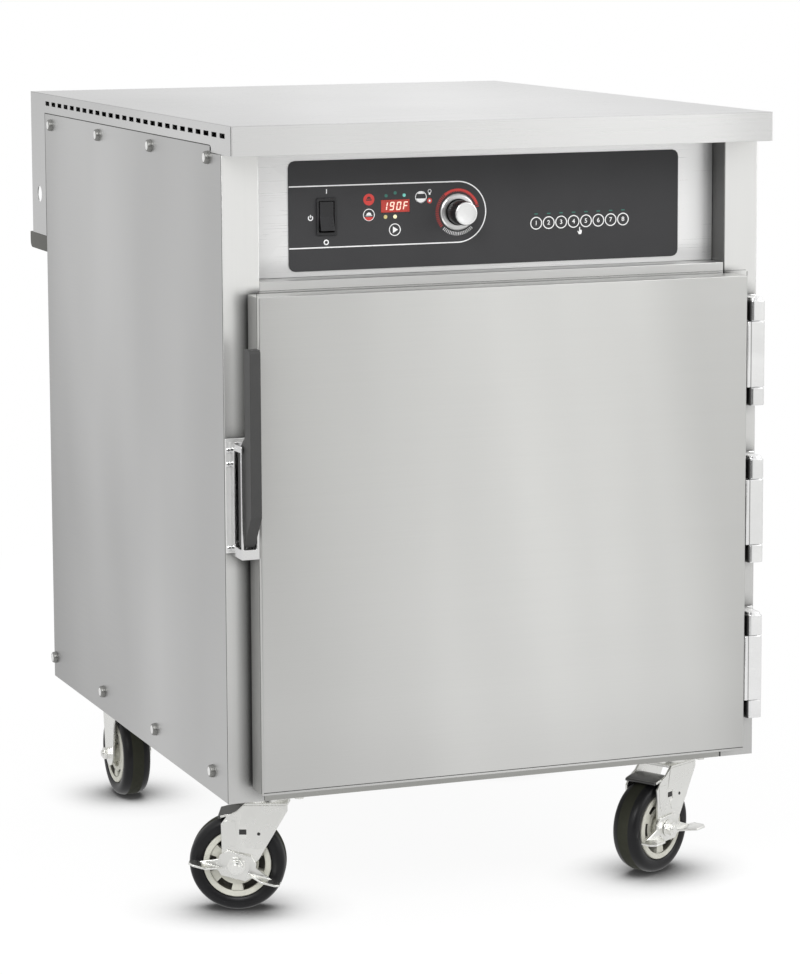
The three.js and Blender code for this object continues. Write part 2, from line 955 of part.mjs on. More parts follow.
// Door, measured from the middle of its front face at the bottom edge.
function addDoor(root) {
  const door = addGroup(root, (doorLeftX + doorRightX) / 2, doorFrontY, doorBottomZ);
  const halfWidth = doorWidth / 2;
  const inHalf = halfWidth - sheetGauge;
  const outline = [
    [halfWidth, doorThickness],
    [-halfWidth, doorThickness],
    ...arc(
      -halfWidth + doorEdgeRadius,
      doorEdgeRadius,
      doorEdgeRadius,
      Math.PI,
      Math.PI * 1.5,
      cornerSteps,
    ),
    ...arc(halfWidth - doorEdgeRadius, doorEdgeRadius, doorEdgeRadius, -Math.PI / 2, 0, cornerSteps),
  ];
  const shell = prismZ(outline, 0, doorHeight);
  const hollow = block(
    -inHalf,
    inHalf,
    sheetGauge,
    doorThickness + cutOverrun,
    sheetGauge,
    doorHeight - sheetGauge,
  );
  addPiece(door, 'door_skin', shell.subtract(hollow), brushedSteel);

  const coreHalf = inHalf - seatGap;
  const coreLow = sheetGauge + seatGap;
  const coreHigh = doorHeight - sheetGauge - seatGap;
  const linerFront = doorThickness - linerGauge;
  const core = block(-coreHalf, coreHalf, sheetGauge + seatGap, linerFront - seatGap, coreLow, coreHigh);
  addPiece(door, 'door_insulation', core, insulationTan);
  const innerSheet = block(-coreHalf, coreHalf, linerFront, doorThickness, coreLow, coreHigh);
  addPiece(door, 'door_liner', innerSheet, paleSteel);

  const gasketFront = doorThickness + seatGap;
  const gasketBack = doorStandoff - seatGap;
  const outHalf = halfWidth - gasketInset;
  const holeHalf = outHalf - gasketWidth;
  const gasketLow = gasketInset;
  const gasketHigh = doorHeight - gasketInset;
  const frame = block(-outHalf, outHalf, gasketFront, gasketBack, gasketLow, gasketHigh);
  const middle = block(
    -holeHalf,
    holeHalf,
    gasketFront - cutOverrun,
    gasketBack + cutOverrun,
    gasketLow + gasketWidth,
    gasketHigh - gasketWidth,
  );
  addPiece(door, 'door_gasket', frame.subtract(middle), gasketBlack);
}

// A hinge, measured from its pin at its lower end.
function hingeFrameHalf() {
  const wallY = doorStandoff - hingeAxisDepth - seatGap;
  const plateY = wallY - hingePlateThickness;
  const stripLeft = -hingeAxisInset + seatGap + hingeStripThickness;
  const plate = block(stripLeft, hingePlateReach, plateY, wallY, 0, hingeHeight);
  const pin = rodZ(0, 0, hingePinRadius * 2, 0, hingeHeight - hingeCapHeight, smallSides);
  const middleTop = hingeLowKnuckle + hingeMiddleKnuckle;
  const capLow = hingeHeight - hingeCapHeight;
  const parts = [plate, pin];
  for (const [low, high, inset] of [
    [0, hingeLowKnuckle, 0],
    [middleTop, capLow, 0],
    [capLow - hingeCapHeight, hingeHeight, hingeCapInset],
  ]) {
    const radius = knuckleRadius - inset;
    const corner = radius / 2;
    const outline = [
      [-radius, plateY + hingePlateThickness / 2],
      ...arc(-radius + corner, -radius + corner, corner, Math.PI, Math.PI * 1.5, cornerSteps),
      ...arc(radius - corner, -radius + corner, corner, -Math.PI / 2, 0, cornerSteps),
      [radius, plateY + hingePlateThickness / 2],
    ];
    parts.push(prismZ(outline, low, high));
  }
  return joined(parts);
}

function hingeDoorHalf() {
  const low = hingeLowKnuckle + knuckleGap;
  const high = hingeLowKnuckle + hingeMiddleKnuckle - knuckleGap;
  const left = -hingeAxisInset + seatGap;
  const stripRight = left + hingeStripThickness;
  const corner = knuckleRadius / 2;
  const outline = [
    [left, -hingeAxisDepth],
    ...arc(knuckleRadius - corner, -hingeAxisDepth + corner, corner, -Math.PI / 2, 0, cornerSteps),
    [knuckleRadius, hingeAxisDepth],
    [stripRight, hingeAxisDepth],
    [stripRight, hingeStripDepth],
    [left, hingeStripDepth],
  ];
  const bore = hingePinRadius * 2 + fitClearance * 2;
  const solid = prismZ(outline, low, high);
  return solid.subtract(rodZ(0, 0, bore, low - cutOverrun, high + cutOverrun, smallSides));
}

function addHinges(root) {
  const names = ['lower', 'middle', 'upper'];
  names.forEach((name, i) => {
    const z = baseZ + hingeLowCentre + hingePitch * i - hingeHeight / 2;
    const hinge = addGroup(root, doorRightX + hingeAxisInset, doorFrontY + hingeAxisDepth, z);
    addPiece(hinge, name + '_hinge_frame_leaf', hingeFrameHalf(), chrome);
    addPiece(hinge, name + '_hinge_door_leaf', hingeDoorHalf(), chrome);
  });
}

// Latch, measured from the door's front left edge at the housing's lower end.
function addLatch(root) {
  const latch = addGroup(root, doorLeftX, doorFrontY, baseZ + latchLowHeight);
  const left = -latchWidth;
  const right = -seatGap;
  const depth = doorStandoff - seatGap - strikeThickness - latchRunGap;
  const innerLeft = left + latchGauge;
  const innerRight = right - latchMountWall;
  const outer = block(left, right, 0, depth, 0, latchHeight);
  const inside = block(
    innerLeft,
    innerRight,
    latchGauge,
    depth - latchGauge,
    latchGauge,
    latchHeight + cutOverrun,
  );
  const mouth = block(
    innerLeft,
    innerRight,
    -cutOverrun,
    latchGauge + cutOverrun,
    cupHeight,
    latchHeight + cutOverrun,
  );
  const sideWindow = block(
    left - cutOverrun,
    innerLeft + cutOverrun,
    latchWindowFrontMargin,
    depth - latchWindowRearMargin,
    cupHeight,
    latchHeight - latchWindowTopMargin,
  );
  addPiece(latch, 'latch_housing', cut(outer, [inside, mouth, sideWindow]), chrome);

  const middle = (innerLeft + innerRight) / 2;
  const gripBack = -handleProud + handleDepth;
  const tip = handleTipRadius;
  const outline = [
    ...arc(-handleProud + tip, handleTopHeight - tip, tip, Math.PI, Math.PI / 2, cornerSteps),
    ...arc(gripBack - tip, handleTopHeight - tip, tip, Math.PI / 2, 0, cornerSteps),
    [gripBack, handleBodyHeight + handleShoulder],
    [handleBodyDepth, handleBodyHeight],
    [handleBodyDepth, handleFootHeight],
    [handleFootSetback, handleFootHeight],
    [-handleProud, handleBendHeight],
  ];
  const grip = prismX(outline, middle - handleWidth / 2, middle + handleWidth / 2);
  const pin = rodX(
    handlePinDepth,
    handlePinHeight,
    handlePinRadius * 2,
    innerLeft + seatGap,
    innerRight - seatGap,
    smallSides,
  );
  addPiece(latch, 'latch_handle', grip.add(pin), handleBlack);

  const strikeRight = -sideX + strikeWidth;
  const strikeBack = frontY - seatGap;
  const strikeLow = baseZ + latchLowHeight + strikeLift;
  const strike = block(
    -sideX,
    strikeRight,
    strikeBack - strikeThickness,
    strikeBack,
    strikeLow,
    strikeLow + strikeHeight,
  );
  addPiece(root, 'latch_strike', strike, chrome);
}

// Oven cavity: a box open to the front, with a flange round its mouth.
function makeCavityLiner() {
  const flangeX = openingX - seatGap;
  const flange = block(
    -flangeX,
    flangeX,
    frontY,
    frontY + sheetGauge,
    sillZ + seatGap,
    railBottomZ - seatGap,
  );
  const box = block(-linerX, linerX, frontY, linerRearY, linerLowZ, linerHighZ);
  const hollow = block(-cavityX, cavityX, frontY - cutOverrun, cavityRearY, cavityFloorZ, cavityTopZ);
  const shaftHole = rodY(
    0,
    fanZ,
    shaftHoleDiameter,
    cavityRearY - cutOverrun,
    linerRearY + cutOverrun,
    smallSides,
  );
  return cut(flange.add(box), [hollow, shaftHole]);
}

// A slide rack: two posts with ledges for the shelves and pans.
function makeRack(side) {
  const wallX = cavityX - seatGap;
  const postX = wallX - rackPostWidth;
  const front = frontY + rackFrontSetback;
  const low = cavityFloorZ + seatGap;
  const parts = [0, rackPostSpacing].map((shift) => {
    const y = front + shift;
    return block(postX, wallX, y, y + rackPostDepth, low, cavityTopZ - ledgeLowHeight / 2);
  });
  const ledgeX = postX + ledgeThickness;
  for (let i = 0; i < ledgeCount; i += 1) {
    const z = cavityFloorZ + ledgeLowHeight + ledgePitch * i;
    const y = frontY + ledgeFrontSetback;
    const outline = [
      [ledgeX - ledgeWidth, z - ledgeThickness],
      [ledgeX, z - ledgeThickness],
      [ledgeX, z + ledgeLipHeight],
      [ledgeX - ledgeThickness, z + ledgeLipHeight],
      [ledgeX - ledgeThickness, z],
      [ledgeX - ledgeWidth, z],
    ];
    parts.push(prismY(outline, y, y + ledgeLength));
  }
  const rack = joined(parts);
  return side > 0 ? rack : rack.mirror([1, 0, 0]);
}

// A grid shelf: a flat plate with windows between its bars, resting on one pair of ledges.
function makeShelf(ledge) {
  const half = cavityX - seatGap - rackPostWidth - shelfSideClearance;
  const y0 = frontY + shelfFrontSetback;
  const z0 = cavityFloorZ + ledgeLowHeight + ledgePitch * ledge + seatGap;
  const z1 = z0 + shelfBar;
  const pitchX = (half * 2 - shelfBar) / shelfColumnCount;
  const pitchY = (shelfDepth - shelfBar) / shelfRowCount;
  const windows = [];
  for (let i = 0; i < shelfColumnCount; i += 1) {
    for (let j = 0; j < shelfRowCount; j += 1) {
      const x = -half + shelfBar + pitchX * i;
      const y = y0 + shelfBar + pitchY * j;
      windows.push(block(
        x,
        x + pitchX - shelfBar,
        y,
        y + pitchY - shelfBar,
        z0 - cutOverrun,
        z1 + cutOverrun,
      ));
    }
  }
  return cut(block(-half, half, y0, y0 + shelfDepth, z0, z1), windows);
}

// Air baffle in front of the fan, with side flanges back to the rear wall.
function makeBaffle() {
  const half = baffleWidth / 2;
  const front = cavityRearY - baffleSetback;
  const rear = cavityRearY - seatGap;
  const low = cavityFloorZ + baffleMargin;
  const high = cavityTopZ - baffleMargin;
  const outline = [
    [-half, front],
    [half, front],
    [half, rear],
    [half - linerGauge, rear],
    [half - linerGauge, front + linerGauge],
    [-half + linerGauge, front + linerGauge],
    [-half + linerGauge, rear],
    [-half, rear],
  ];
  const slots = [];
  const slotTop = (baffleSlotCount - 1) / 2;
  for (let i = 0; i < baffleSlotCount; i += 1) {
    const rise = (i - slotTop) * baffleSlotPitch;
    const reach = Math.sqrt((baffleIntakeDiameter / 2) ** 2 - rise ** 2);
    const z = fanZ + rise;
    const halfSlot = baffleSlotHeight / 2;
    slots.push(block(
      -reach,
      reach,
      front - cutOverrun,
      front + linerGauge + cutOverrun,
      z - halfSlot,
      z + halfSlot,
    ));
  }
  const outletMiddle = (outletCount - 1) / 2;
  for (const side of [-1, 1]) {
    const x = side * (half - outletInset);
    for (let i = 0; i < outletCount; i += 1) {
      const z = fanZ + (i - outletMiddle) * outletPitch;
      slots.push(block(
        x - outletWidth / 2,
        x + outletWidth / 2,
        front - cutOverrun,
        front + linerGauge + cutOverrun,
        z - outletHeight / 2,
        z + outletHeight / 2,
      ));
    }
  }
  return cut(prismZ(outline, low, high), slots);
}

// Fan, heating element and motor, measured from the cavity's rear wall at the fan's centre.
function addFan(root) {
  const fan = addGroup(root, 0, cavityRearY, fanZ);
  const back = -fanRearGap;
  const front = back - fanDepth;
  const disc = rodY(0, 0, fanDiameter, back - fanPlate, back, fineSides);
  const hub = rodY(0, 0, fanHubDiameter, front, back - fanPlate / 2, smallSides);
  const motorFace = linerGauge + seatGap;
  const shaft = rodY(0, 0, fanShaftDiameter, front + fanPlate, motorFace - seatGap / 2, smallSides);
  const blades = [];
  const outer = fanDiameter / 2 - fanPlate;
  const bladeTurn = THREE.MathUtils.radToDeg((Math.PI * 2) / fanBladeCount);
  for (let i = 0; i < fanBladeCount; i += 1) {
    const blade = block(
      outer - fanBladeLength,
      outer,
      front,
      back - fanPlate / 2,
      -fanPlate / 2,
      fanPlate / 2,
    );
    blades.push(blade.rotate([0, bladeTurn * i, 0]));
  }
  addPiece(fan, 'fan_wheel', joined([disc, hub, shaft, ...blades]), paleSteel);

  const ringRadius = elementRingDiameter / 2;
  const torus = new THREE.TorusGeometry(ringRadius, elementTubeDiameter / 2, smallSides / 2, fineSides);
  torus.rotateX(Math.PI / 2);
  torus.translate(0, -elementSetback, 0);
  const legs = [-1, 1].map((side) => {
    const x = (side * elementLegSpacing) / 2;
    const z = Math.sqrt(ringRadius ** 2 - x ** 2);
    return rodY(x, -z, elementTubeDiameter * elementLegShare, -elementSetback, -seatGap, smallSides);
  });
  addPiece(fan, 'heating_element', joined([solidOf(torus), ...legs]), dullSteel);

  const flangeHalf = motorFlangeWidth / 2;
  const flange = block(
    -flangeHalf,
    flangeHalf,
    motorFace,
    motorFace + motorFlangeThickness,
    -flangeHalf,
    flangeHalf,
  );
  const can = rodY(
    0,
    0,
    motorDiameter,
    motorFace + motorFlangeThickness / 2,
    motorFace + motorLength,
    mediumSides,
  );
  addPiece(fan, 'fan_motor', flange.add(can), motorGrey);
}

// Cord inlet on the back panel.
function addCordInlet(root) {
  const inlet = addGroup(root, -sideX + inletSideInset, rearY + seatGap, topZ - inletDrop);
  const body = turnedY(
    [
      [0, 0],
      [inletFlangeDiameter / 2, 0],
      [inletFlangeDiameter / 2, inletFlangeThickness],
      [inletBarrelDiameter / 2, inletFlangeThickness],
      [inletBarrelDiameter / 2, inletLength],
      [inletBoreDiameter / 2, inletLength],
      [inletBoreDiameter / 2, inletLength - inletBoreDepth],
      [0, inletLength - inletBoreDepth],
    ],
    mediumSides,
  );
  addPiece(inlet, 'cord_inlet', body, glossBlack);
}

// Caster plate with its four bolts, and the upper race and kingpin where it swivels.
function plateWithBolts(alongX, alongY, spacingX, spacingY) {
  const plate = prismZ(roundedBox(0, 0, alongX, alongY, plateCornerRadius), -casterPlateThickness, 0);
  const bolts = [];
  for (const x of [-spacingX / 2, spacingX / 2]) {
    for (const y of [-spacingY / 2, spacingY / 2]) {
      const low = -casterPlateThickness - plateBoltHeight;
      bolts.push(rodZ(x, y, plateBoltDiameter, low, -casterPlateThickness / 2, hexSides));
    }
  }
  return joined([plate, ...bolts]);
}

function makeSwivelPlate() {
  const plate = plateWithBolts(casterPlateWidth, casterPlateLength, plateBoltSpacingX, plateBoltSpacingY);
  const race = rodZ(0, 0, raceDiameter, raceBottom, -casterPlateThickness / 2, mediumSides);
  const nutTop = crownBottom - seatGap;
  const nutLow = nutTop - kingpinNutHeight;
  const pin = rodZ(0, 0, kingpinDiameter, nutLow, raceBottom + raceDepth / 2, smallSides);
  const nut = rodZ(0, 0, kingpinNutDiameter, nutLow, nutTop, hexSides);
  return joined([plate, race, pin, nut]);
}

function makeFork() {
  const crownRise = axleDrop + crownTop;
  const leg = [
    ...forkLegShares.map(([a, b]) => [-casterTrail + a * casterTrail, -axleDrop + b * crownRise]),
    ...arc(-casterTrail, -axleDrop, forkFootRadius, Math.PI, Math.PI * 2, cornerSteps * 2),
  ];
  const legs = [-1, 1].map((side) => {
    const near = side * forkInnerHalf;
    const far = side * forkOuterHalf;
    return prismY(leg, Math.min(near, far), Math.max(near, far));
  });
  const crownLeft = (forkLegShares[3][0] - 1) * casterTrail;
  const crownRight = (forkLegShares[2][0] - 1) * casterTrail;
  const crown = block(crownLeft, crownRight, -forkOuterHalf, forkOuterHalf, crownBottom, crownTop);
  const race = rodZ(0, 0, raceDiameter, crownTop - crownThickness / 2, crownTop + crownDepth, mediumSides);
  const quarter = Math.PI / 2;
  const from = quarter * bandStartShare;
  const to = quarter * bandEndShare;
  const steps = cornerSteps * 2;
  const band = [
    ...arc(-casterTrail, -axleDrop, bandRadius + bandThickness, from, to, steps),
    ...arc(-casterTrail, -axleDrop, bandRadius, to, from, steps),
  ];
  const shoe = prismY(band, -forkInnerHalf - legGauge / 2, forkInnerHalf + legGauge / 2);
  const body = joined([crown, race, shoe, ...legs]);
  const pinHole = rodZ(
    0,
    0,
    kingpinDiameter + fitClearance * 2,
    crownBottom - cutOverrun,
    crownTop + crownDepth + cutOverrun,
    smallSides,
  );
  const boltHole = rodY(
    -casterTrail,
    -axleDrop,
    boltDiameter + fitClearance * 2,
    -forkOuterHalf - cutOverrun,
    forkOuterHalf + cutOverrun,
    smallSides,
  );
  return cut(body, [pinHole, boltHole]);
}

// A rigid rear bracket with its axle bolt, its wheel straight below the plate.
function makeRigidBracket() {
  const plate = plateWithBolts(casterPlateLength, casterPlateWidth, plateBoltSpacingY, plateBoltSpacingX);
  const topHalf = rearLegTopWidth / 2;
  const leg = [
    [topHalf, -casterPlateThickness / 2],
    [-topHalf, -casterPlateThickness / 2],
    ...arc(0, -axleDrop, forkFootRadius, Math.PI, Math.PI * 2, cornerSteps * 2),
  ];
  const legs = [-1, 1].map((side) => {
    const near = side * forkInnerHalf;
    const far = side * forkOuterHalf;
    return prismY(leg, Math.min(near, far), Math.max(near, far));
  });
  return joined([plate, ...legs, makeBolt(0, 0)]);
}

// The axle bolt across a fork, with a head and a nut; the outer side stands off by the lever's plate.
function makeBolt(x, standoff) {
  const outer = forkOuterHalf + standoff;
  const reach = outer + boltHeadHeight;
  const overlap = standoff > 0 ? 0 : legGauge / 2;
  const shank = rodY(
    x,
    -axleDrop,
    boltDiameter,
    -reach - boltStub,
    forkOuterHalf + boltHeadHeight,
    smallSides,
  );
  const nut = rodY(x, -axleDrop, boltHeadDiameter, -reach, -outer + overlap, hexSides);
  const headStart = forkOuterHalf + (standoff > 0 ? seatGap : -overlap);
  const head = rodY(x, -axleDrop, boltHeadDiameter, headStart, forkOuterHalf + boltHeadHeight, hexSides);
  return joined([shank, nut, head]);
}

// Wheel core with a hub, a web with arc pockets in both faces, and a rim.
function makeCore() {
  const bore = boltDiameter / 2 + fitClearance;
  const hub = hubDiameter / 2;
  const rimOuter = coreDiameter / 2;
  const rimInner = webOuterDiameter / 2;
  const halfHub = forkInnerHalf - seatGap;
  const halfWeb = webThickness / 2;
  const halfRim = rimWidth / 2;
  const profile = [
    [bore, -halfHub],
    [hub, -halfHub],
    [hub, -halfWeb],
    [rimInner, -halfWeb],
    [rimInner, -halfRim],
    [rimOuter, -halfRim],
    [rimOuter, halfRim],
    [rimInner, halfRim],
    [rimInner, halfWeb],
    [hub, halfWeb],
    [hub, halfHub],
    [bore, halfHub],
  ];
  const pockets = [];
  const sweep = (Math.PI * 2) / corePocketCount;
  const halfOpen = sweep * corePocketShare;
  for (let i = 0; i < corePocketCount; i += 1) {
    const middle = sweep * i;
    const outline = [
      ...arc(0, 0, webOuterDiameter / 2 - seatGap, middle - halfOpen, middle + halfOpen, cornerSteps),
      ...arc(0, 0, webInnerDiameter / 2, middle + halfOpen, middle - halfOpen, cornerSteps),
    ];
    pockets.push(prismY(outline, -halfWeb - cutOverrun, -pocketFloor / 2));
    pockets.push(prismY(outline, pocketFloor / 2, halfWeb + cutOverrun));
  }
  return cut(turnedY(profile, fineSides), pockets);
}

function makeTyre() {
  const bore = coreDiameter / 2 + fitClearance;
  const half = treadWidth / 2;
  const profile = [
    [bore, -rimWidth / 2],
    [wheelRadius - shoulderSetback, -half],
    [wheelRadius - shoulderDrop, -half + shoulderDrop],
    [wheelRadius, -half + shoulderSetback],
    [wheelRadius, half - shoulderSetback],
    [wheelRadius - shoulderDrop, half - shoulderDrop],
    [wheelRadius - shoulderSetback, half],
    [bore, rimWidth / 2],
  ];
  return turnedY(profile, tyreSides);
}

// Brake lever: a plate on the axle bolt with a tapered arm and a pedal to each side.
function makeBrakeLever() {
  const back = -forkOuterHalf - seatGap;
  const front = back - leverGauge;
  const halfW = leverHubWidth / 2;
  const halfH = leverHubHeight / 2;
  const cornerCut = halfH / 2;
  const hub = prismY(
    [
      [halfW, -cornerCut],
      [halfW, cornerCut],
      [halfW - cornerCut, halfH],
      [-halfW + cornerCut, halfH],
      [-halfW, cornerCut],
      [-halfW, -cornerCut],
      [-halfW + cornerCut, -halfH],
      [halfW - cornerCut, -halfH],
    ],
    front,
    back,
  );
  const tip = leverSpan / 2;
  const reach = back - leverPedalWidth;
  const armTip = tip - leverPedalWidth / 2;
  const arms = [-1, 1].map((side) => {
    const outline = [
      [halfW - cornerCut, -leverArmDrop],
      [armTip, -leverPedalDrop - leverGauge / 2],
      [armTip, -leverPedalDrop + leverGauge / 2],
      [halfW - cornerCut, leverArmRise],
    ];
    return prismY(side > 0 ? outline : mirrored(outline), front, back);
  });
  const pedals = [-1, 1].map((side) => {
    const outline = [
      [leverPedalRoot, back],
      [leverPedalRoot, front],
      [tip - leverPedalWidth, reach],
      [tip - leverPedalWidth / 4, reach],
      [tip, reach + leverPedalWidth / 4],
      [tip, front],
      [tip - leverPedalWidth / 4, back],
    ];
    const placed = side > 0 ? outline : mirrored(outline);
    return prismZ(placed, -leverPedalDrop - leverGauge / 2, -leverPedalDrop + leverGauge / 2);
  });
  const hole = rodY(
    0,
    0,
    boltDiameter + fitClearance * 2,
    front - cutOverrun,
    back + cutOverrun,
    smallSides,
  );
  return joined([hub, ...arms, ...pedals]).subtract(hole);
}

function addFrontCaster(root, prefix, side, yaw, tilt) {
  const place = addGroup(root, side * (sideX - casterSideInset), frontY + casterFrontInset, plateTopZ);
  addPiece(place, prefix + '_caster_plate', makeSwivelPlate(), zinc);
  const swivel = addGroup(place, 0, 0, 0);
  swivel.rotation.z = yaw;
  addPiece(swivel, prefix + '_caster_fork', makeFork(), zinc);
  addPiece(swivel, prefix + '_axle_bolt', makeBolt(-casterTrail, leverGauge + seatGap * 2), zinc);
  const wheel = addGroup(swivel, -casterTrail, 0, -axleDrop);
  addPiece(wheel, prefix + '_wheel_core', makeCore(), coreCream);
  addPiece(wheel, prefix + '_tyre', makeTyre(), tyreGrey);
  const lever = addGroup(swivel, -casterTrail, 0, -axleDrop);
  lever.rotation.y = tilt;
  addPiece(lever, prefix + '_brake_lever', makeBrakeLever(), zinc);
}

function addRearCaster(root, prefix, side) {
  const place = addGroup(root, side * (sideX - casterSideInset), rearY - casterRearInset, plateTopZ);
  place.rotation.z = (side * Math.PI) / 2;
  addPiece(place, prefix + '_caster_bracket', makeRigidBracket(), zinc);
  const wheel = addGroup(place, 0, 0, -axleDrop);
  addPiece(wheel, prefix + '_wheel_core', makeCore(), coreCream);
  addPiece(wheel, prefix + '_tyre', makeTyre(), tyreGrey);
}

const cabinet = new THREE.Group();
addPiece(cabinet, 'top_cover', makeTopCover(), paleSteel);
addPiece(cabinet, 'left_side_panel', makeSidePanel(-1), brushedSteel);
addPiece(cabinet, 'right_side_panel', makeSidePanel(1), brushedSteel);
addPiece(cabinet, 'back_panel', makeBackPanel(), brushedSteel);
addPiece(cabinet, 'base_pan', makeBasePan(), brushedSteel);
addPiece(cabinet, 'left_post', makePost(-1), paleSteel);
addPiece(cabinet, 'right_post', makePost(1), paleSteel);
addPiece(cabinet, 'control_rail', makeControlRail(), paleSteel);
addPiece(cabinet, 'control_fascia', makeFascia(), paleSteel);
addPiece(cabinet, 'control_overlay', makeOverlay(), overlayBlack);
addPiece(cabinet, 'control_board', makeControlBoard(), boardGreen);
addPiece(cabinet, 'rear_bar', makeRearBar(), dullSteel);
addPiece(cabinet, 'cavity_liner', makeCavityLiner(), paleSteel);
addPiece(cabinet, 'left_rack', makeRack(-1), paleSteel);
addPiece(cabinet, 'right_rack', makeRack(1), paleSteel);
addPiece(cabinet, 'lower_shelf', makeShelf(lowerShelfLedge), chrome);
addPiece(cabinet, 'upper_shelf', makeShelf(upperShelfLedge), chrome);
addPiece(cabinet, 'air_baffle', makeBaffle(), paleSteel);
addControls(cabinet);
addDoor(cabinet);
addHinges(cabinet);
addLatch(cabinet);
addFan(cabinet);
addCordInlet(cabinet);
addFrontCaster(cabinet, 'front_left', -1, leftCasterYaw, leftLeverTilt);
addFrontCaster(cabinet, 'front_right', 1, rightCasterYaw, rightLeverTilt);
addRearCaster(cabinet, 'rear_left', -1);
addRearCaster(cabinet, 'rear_right', 1);

// The outer box is centred over the origin; the brake pedal on the left reaches past the body.
const outerBox = new THREE.Box3().setFromObject(cabinet, true);
cabinet.position.x = -(outerBox.min.x + outerBox.max.x) / 2;

const assembly = new THREE.Group();
assembly.add(cabinet);
export default assembly;
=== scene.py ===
import json
import math

import bmesh
import bpy
from mathutils import Matrix, Vector

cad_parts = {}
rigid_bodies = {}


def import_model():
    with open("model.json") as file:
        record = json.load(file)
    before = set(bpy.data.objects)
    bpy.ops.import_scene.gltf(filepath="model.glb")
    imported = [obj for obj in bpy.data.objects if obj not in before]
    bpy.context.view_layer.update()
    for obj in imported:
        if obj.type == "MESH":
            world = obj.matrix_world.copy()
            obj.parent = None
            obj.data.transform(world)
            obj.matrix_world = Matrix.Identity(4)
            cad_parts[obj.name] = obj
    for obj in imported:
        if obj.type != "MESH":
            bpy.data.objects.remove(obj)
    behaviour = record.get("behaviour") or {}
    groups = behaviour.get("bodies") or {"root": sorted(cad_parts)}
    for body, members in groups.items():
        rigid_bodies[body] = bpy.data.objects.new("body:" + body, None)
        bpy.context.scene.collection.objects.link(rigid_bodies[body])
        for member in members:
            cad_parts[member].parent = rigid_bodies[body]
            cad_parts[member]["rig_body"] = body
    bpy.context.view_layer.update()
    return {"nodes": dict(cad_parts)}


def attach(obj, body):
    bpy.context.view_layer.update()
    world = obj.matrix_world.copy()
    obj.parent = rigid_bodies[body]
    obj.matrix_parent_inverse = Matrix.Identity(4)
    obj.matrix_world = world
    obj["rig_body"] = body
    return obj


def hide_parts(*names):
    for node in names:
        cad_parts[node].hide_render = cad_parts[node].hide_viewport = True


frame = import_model()
nodes = frame["nodes"]
scene = bpy.context.scene
mm = 0.001

print("frame loaded:", len(nodes), "nodes")


# Node helpers: an input is fed with a plain value or with another node's output

def feed(tree, socket, value):
    if isinstance(value, bpy.types.NodeSocket):
        tree.links.new(value, socket)
    else:
        socket.default_value = value


def addNode(tree, kind, inputs, out=0, **settings):
    node = tree.nodes.new(kind)
    for label, value in settings.items():
        setattr(node, label, value)
    for label, value in inputs.items():
        feed(tree, node.inputs[label], value)
    return node.outputs[out] if node.outputs else node


def calc(tree, operation, *values):
    return addNode(tree, "ShaderNodeMath", dict(enumerate(values)), operation=operation)


def grey(tone):
    return (tone, tone, tone, 1)


def mapRange(tree, value, first, last, start=0.0, kind="LINEAR"):
    inputs = {"Value": value, "From Min": first, "From Max": last, "To Min": start}
    return addNode(tree, "ShaderNodeMapRange", inputs, interpolation_type=kind)


def mixColour(tree, factor, a, b, blend="MIX"):
    return addNode(tree, "ShaderNodeMix", {"Factor": factor, 6: a, 7: b}, 2, data_type="RGBA", blend_type=blend)


def mixShader(tree, share, a, b):
    return addNode(tree, "ShaderNodeMixShader", {0: share, 1: a, 2: b})


def addRamp(tree, factor, stops, ease="LINEAR"):
    node = tree.nodes.new("ShaderNodeValToRGB")
    node.color_ramp.interpolation = ease
    elements = node.color_ramp.elements
    for _ in stops[2:]:
        elements.new(0.5)
    for i, (place, colour) in enumerate(stops):
        elements[i].position = place
        elements[i].color = (*colour[:3], 1)
    feed(tree, node.inputs[0], factor)
    return node.outputs[0]


def noise(tree, vector, scale, detail=2.0, rough=0.5):
    inputs = {"Vector": vector, "Scale": scale, "Detail": detail, "Roughness": rough}
    return addNode(tree, "ShaderNodeTexNoise", inputs, "Fac")


def stretched(tree, vector, scale):
    return addNode(tree, "ShaderNodeVectorMath", {0: vector, 1: scale}, operation="MULTIPLY")


# Camera, floor and light

cameraSetup = {
    "place": (-1.79769, -4.82953, 1.35291),
    "azimuth": -20.8408,
    "elevation": 7.8628,
    "roll": -0.261,
    "focalPixels": 3543.85,
    "imageHeight": 975,
    "centreRow": 400,
}

lightSetup = {
    "skyDiffuse": 0.78,
    "skyLow": (0.76, 0.76, 0.75),
    "skyHigh": (1.02, 1.02, 1.02),
    "horizon": (0.44, 0.58),       # where the low sky ends and the high one starts; 0 is straight down, 1 straight up
    "cardTone": (0.45, 0.45, 0.46, 1),
    "cardScale": 2.2,
    "cardEdge": (0.54, 0.70),
    "patches": [                   # softer parts of the studio: direction, cosines where it starts and is full, tone
        ((-0.352, -0.926, 0.10), 0.84, 0.97, 0.04),
        ((-0.352, 0.926, 0.02), 0.70, 0.95, 0.70),
    ],
    "lamps": {                     # place, size, power
        "keyLamp": ((-2.6, -3.4, 3.4), 2.4, 90),
        "fillLamp": ((3.4, -2.6, 2.2), 2.6, 45),
    },
    "lampAim": (0, 0, 0.55),
}

floorSetup = {
    "radius": 2.4, "drop": 0.0004, "tone": 0.86, "mirror": 0.76, "glow": 1.03, "glowShare": 0.90,
    # painted shadow round the wheels: how far it reaches, where it fades and how dark it is
    "paintedShadowReach": 0.11, "paintedShadowEdge": (0.44, 0.95), "paintedShadowTone": 0.03,
}


